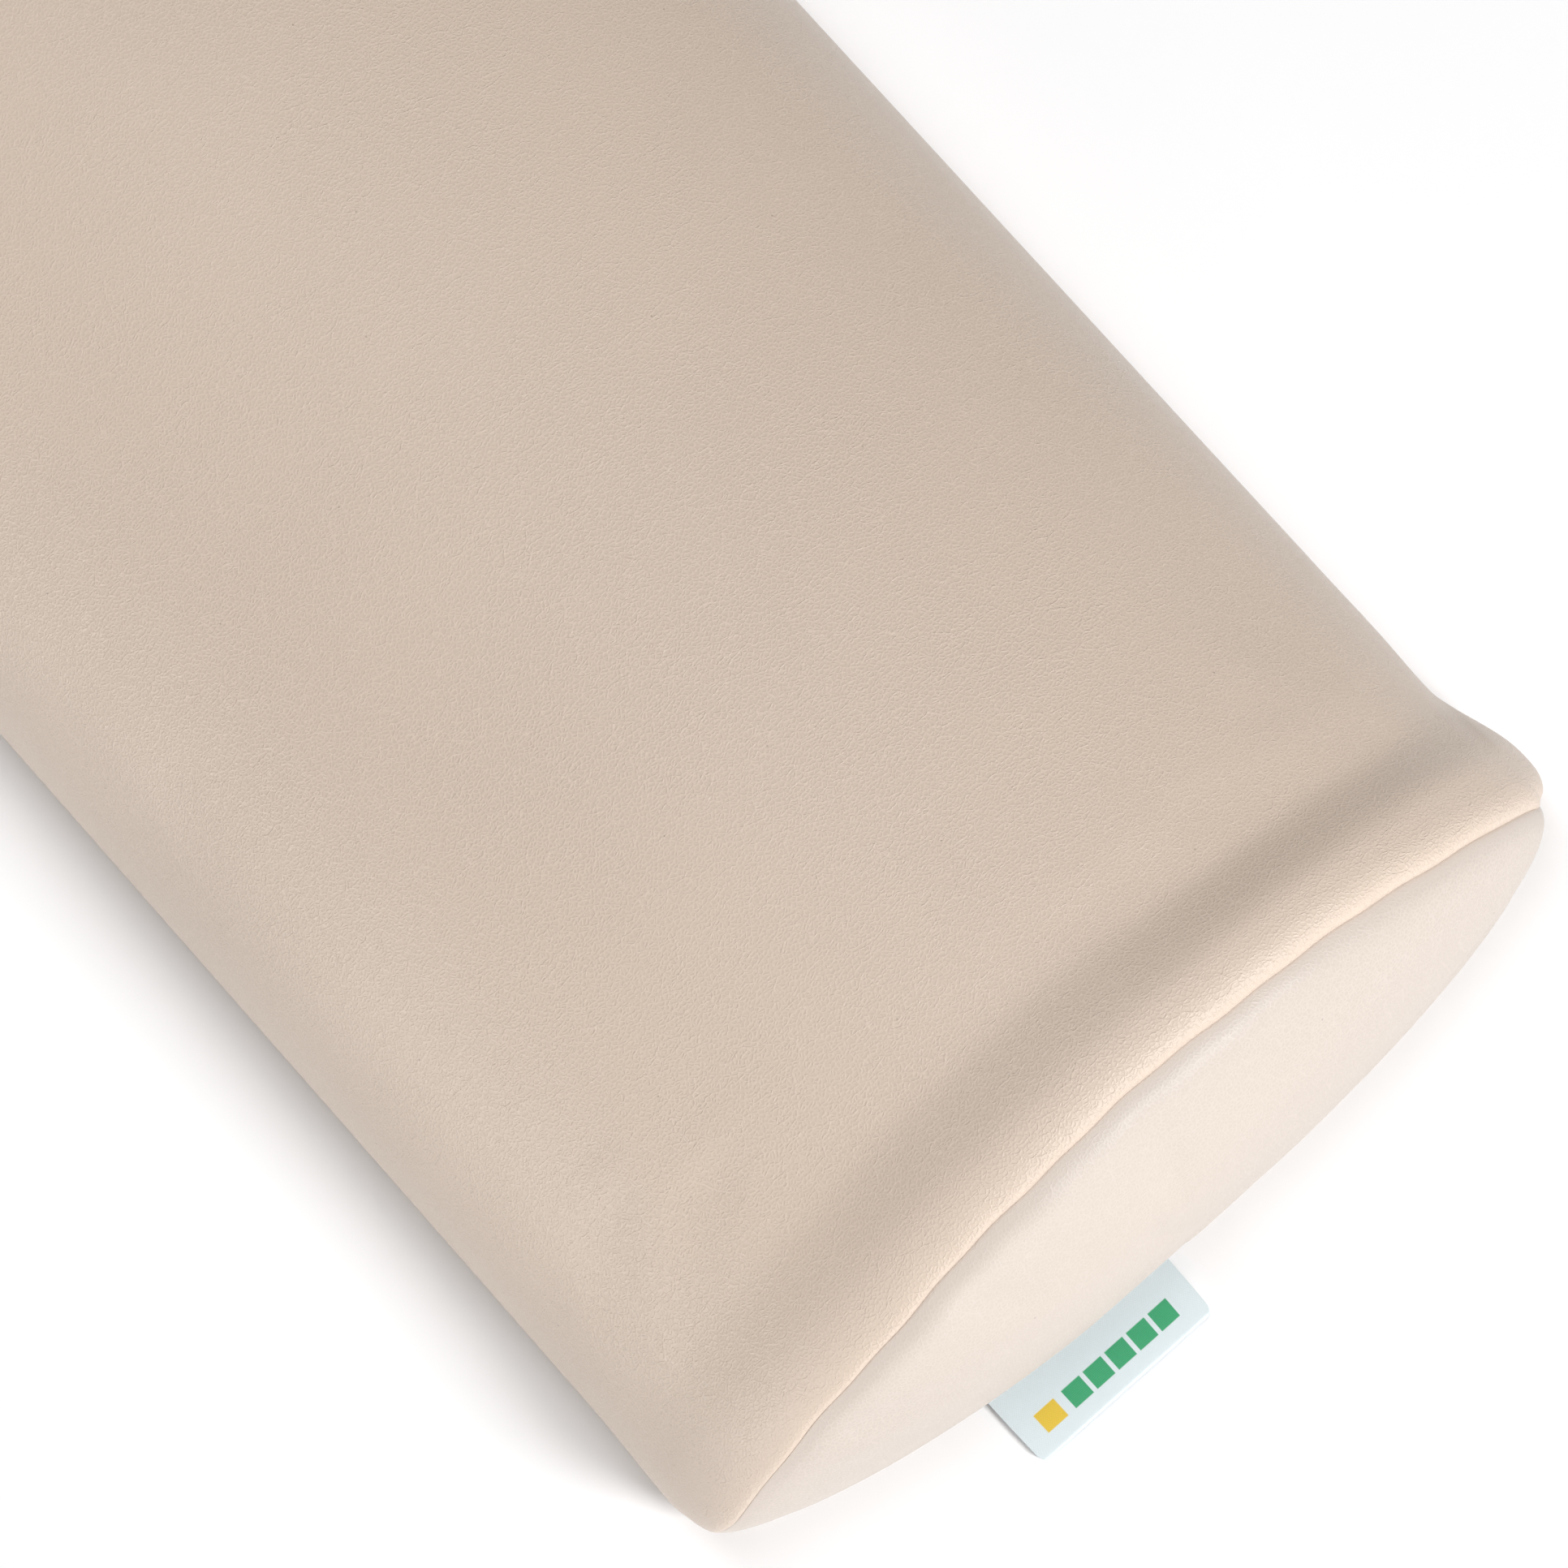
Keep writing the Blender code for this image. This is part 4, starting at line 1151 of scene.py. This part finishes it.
def make_nickel(settings):
    tree, shader = start_material("nickel", settings.metal, Metallic=1.0, Roughness=0.3)
    place = inside(tree)
    lines = put(tree, "Mapping", Vector=place, Scale=(300, 6000, 3000)).outputs[0]
    brushed = put(tree, "TexNoise", Vector=lines, Scale=1.0, Detail=3.0)
    spots = put(tree, "TexNoise", Vector=place, Scale=700.0, Detail=3.0)
    join(tree, ramp(tree, brushed.outputs["Fac"], 0.3, 0.7, 0.22, 0.42), shader.inputs["Roughness"])
    worn = ramp(tree, spots.outputs["Fac"], 0.45, 0.75)
    join(tree, mix(tree, worn, times(settings.metal, 1), times(settings.metal, 0.94)), shader.inputs["Base Color"])
    bump(tree, shader, brushed.outputs["Fac"], 0.00001)


def bar(tree, value, low, high, soft=0.00012):
    """1 where the value lies between low and high."""
    rising = ramp(tree, value, low - soft, low + soft)
    return maths(tree, "MULTIPLY", rising, ramp(tree, value, high - soft, high + soft, 1.0, 0.0))


def make_satin(settings, trim):
    """Woven ribbon with a plain row near the fold: a bar in even blocks, and a short bar of another colour."""
    tree, shader = start_material("label_ribbon", settings.satin, Roughness=0.42, Specular_IOR_Level=0.5)
    shader.inputs["Sheen Weight"].default_value = 0.2
    uv = surface(tree)
    split = put(tree, "SeparateXYZ", Vector=uv)
    across, along = split.outputs["X"], split.outputs["Y"]
    threads = put(tree, "Mapping", Vector=uv, Scale=(4200, 3000, 1)).outputs[0]
    weave = use(tree, "plain_weave", Place=threads)
    low, left, blocks = 0.0036, -trim.stripe_width / 2 + 0.003, 5
    row = bar(tree, along, low, low + trim.stripe_height)
    stripe = maths(tree, "MULTIPLY", row, bar(tree, across, left, left + trim.stripe_width))
    count = maths(
        tree, "MULTIPLY_ADD", across, blocks / trim.stripe_width, 20 - left * blocks / trim.stripe_width
    )
    gaps = maths(tree, "ABSOLUTE", maths(tree, "SUBTRACT", maths(tree, "FRACT", count), 0.5))
    stripe = maths(tree, "MULTIPLY", stripe, ramp(tree, gaps, 0.40, 0.43, 1.0, 0.0))
    accent = maths(tree, "MULTIPLY", row, bar(tree, across, left - 0.0062, left - 0.0014))
    shade = mix(tree, stripe, (*settings.satin, 1), (*settings.stripe, 1))
    shade = mix(tree, accent, shade, (*settings.accent, 1))
    # Painted shade: the ribbon is darker and bluer in the gaps between its threads
    shade = mix(tree, maths(tree, "MULTIPLY", weave.outputs["Gap"], 0.16), shade, (0.35, 0.42, 0.45, 1))
    join(tree, shade, shader.inputs["Base Color"])
    bump(tree, shader, weave.outputs["Height"], 0.00004)


class CUSHION_OT_finishes(bpy.types.Operator):
    """Makes the materials and the effects that they share"""

    bl_idname = "cushion.finishes"
    bl_label = "Finishes"

    def execute(self, context):
        settings = context.scene.cushion_finish
        build_grain()
        build_weave()
        make_leather(settings, "leatherette", settings.leather, settings.grain_depth)
        # The end panels' leatherette, with the greyer panel colour, which is painted sheen
        make_leather(settings, "leatherette_panel", settings.panel, settings.grain_depth * 0.35)
        make_backing(settings)
        make_foam(settings)
        make_thread(settings)
        make_tape(settings)
        make_coil(settings)
        make_nickel(settings)
        make_satin(settings, context.scene.cushion_trim)
        return {"FINISHED"}


# Stage


def add_light(name, place, aim, size, power):
    data = bpy.data.lights.new(name, "AREA")
    data.shape = "DISK"
    data.size = size
    data.energy = power
    light = bpy.data.objects.new(name, data)
    light.location = place
    light.rotation_mode = "QUATERNION"
    light.rotation_quaternion = (Vector(aim) - Vector(place)).to_track_quat("-Z", "Y")
    bpy.context.scene.collection.objects.link(light)


class CUSHION_OT_stage(bpy.types.Operator):
    """Sets up the camera, the pale floor and soft studio light"""

    bl_idname = "cushion.stage"
    bl_label = "Stage"

    def execute(self, context):
        settings = context.scene.cushion_stage
        scene = context.scene
        scene.view_settings.view_transform = "Standard"
        data = bpy.data.cameras.new("camera")
        data.lens = settings.lens
        data.clip_end = 50
        camera = bpy.data.objects.new("camera", data)
        camera.location = settings.place
        camera.rotation_mode = "QUATERNION"
        sight = (Vector(settings.aim) - Vector(settings.place)).to_track_quat("-Z", "Y")
        camera.rotation_quaternion = sight @ Quaternion((0, 0, 1), settings.roll)
        scene.collection.objects.link(camera)
        scene.camera = camera

        start_material("floor", settings.floor, Roughness=0.9, Specular_IOR_Level=0.1)
        corners = np.array([(-6, -6, 0), (6, -6, 0), (6, 6, 0), (-6, 6, 0)], float) - (0, 0, 0.0002)
        floor = add_piece("floor", corners, [np.array([[0, 1, 2, 3]])], (finish("floor"),))

        world = bpy.data.worlds.new("studio")
        world.use_nodes = True
        sky = world.node_tree.nodes["Background"].inputs
        sky["Color"].default_value = (1, 1, 1, 1)
        sky["Strength"].default_value = settings.sky
        scene.world = world
        for name, place, size in LIGHTS:
            add_light(name, place, (0.1, 0, 0.04), size, getattr(settings, f"{name}_power"))
        return {"FINISHED"}


class CUSHION_PT_panel(bpy.types.Panel):
    """Lists the pieces and their sizes"""

    bl_label = "Lumbar cushion"
    bl_idname = "CUSHION_PT_panel"
    bl_space_type = "VIEW_3D"
    bl_region_type = "UI"
    bl_category = "Cushion"

    def draw(self, context):
        for operator in OPERATORS:
            self.layout.operator(operator.bl_idname)
        for name, group in GROUPS.items():
            box = self.layout.box()
            for field in group.__annotations__:
                box.prop(getattr(context.scene, name), field)


GROUPS = {
    "cushion_cover": CushionCoverSettings,
    "cushion_fill": CushionFillSettings,
    "cushion_trim": CushionTrimSettings,
    "cushion_finish": CushionFinishSettings,
    "cushion_stage": CushionStageSettings,
}
OPERATORS = (
    CUSHION_OT_finishes,
    CUSHION_OT_stage,
    CUSHION_OT_cover,
    CUSHION_OT_foam,
    CUSHION_OT_stitching,
    CUSHION_OT_zip,
    CUSHION_OT_label,
)


def register():
    for cls in (*GROUPS.values(), *OPERATORS, CUSHION_PT_panel):
        bpy.utils.register_class(cls)
    for name, group in GROUPS.items():
        setattr(bpy.types.Scene, name, PointerProperty(type=group))


def unregister():
    for name in GROUPS:
        delattr(bpy.types.Scene, name)
    for cls in reversed((*GROUPS.values(), *OPERATORS, CUSHION_PT_panel)):
        bpy.utils.unregister_class(cls)


def main():
    register()
    bpy.ops.cushion.finishes()
    bpy.ops.cushion.stage()
    bpy.ops.cushion.cover()
    bpy.ops.cushion.foam()
    bpy.ops.cushion.stitching()
    bpy.ops.cushion.zip()
    bpy.ops.cushion.label()


if __name__ == "__main__":
    main()
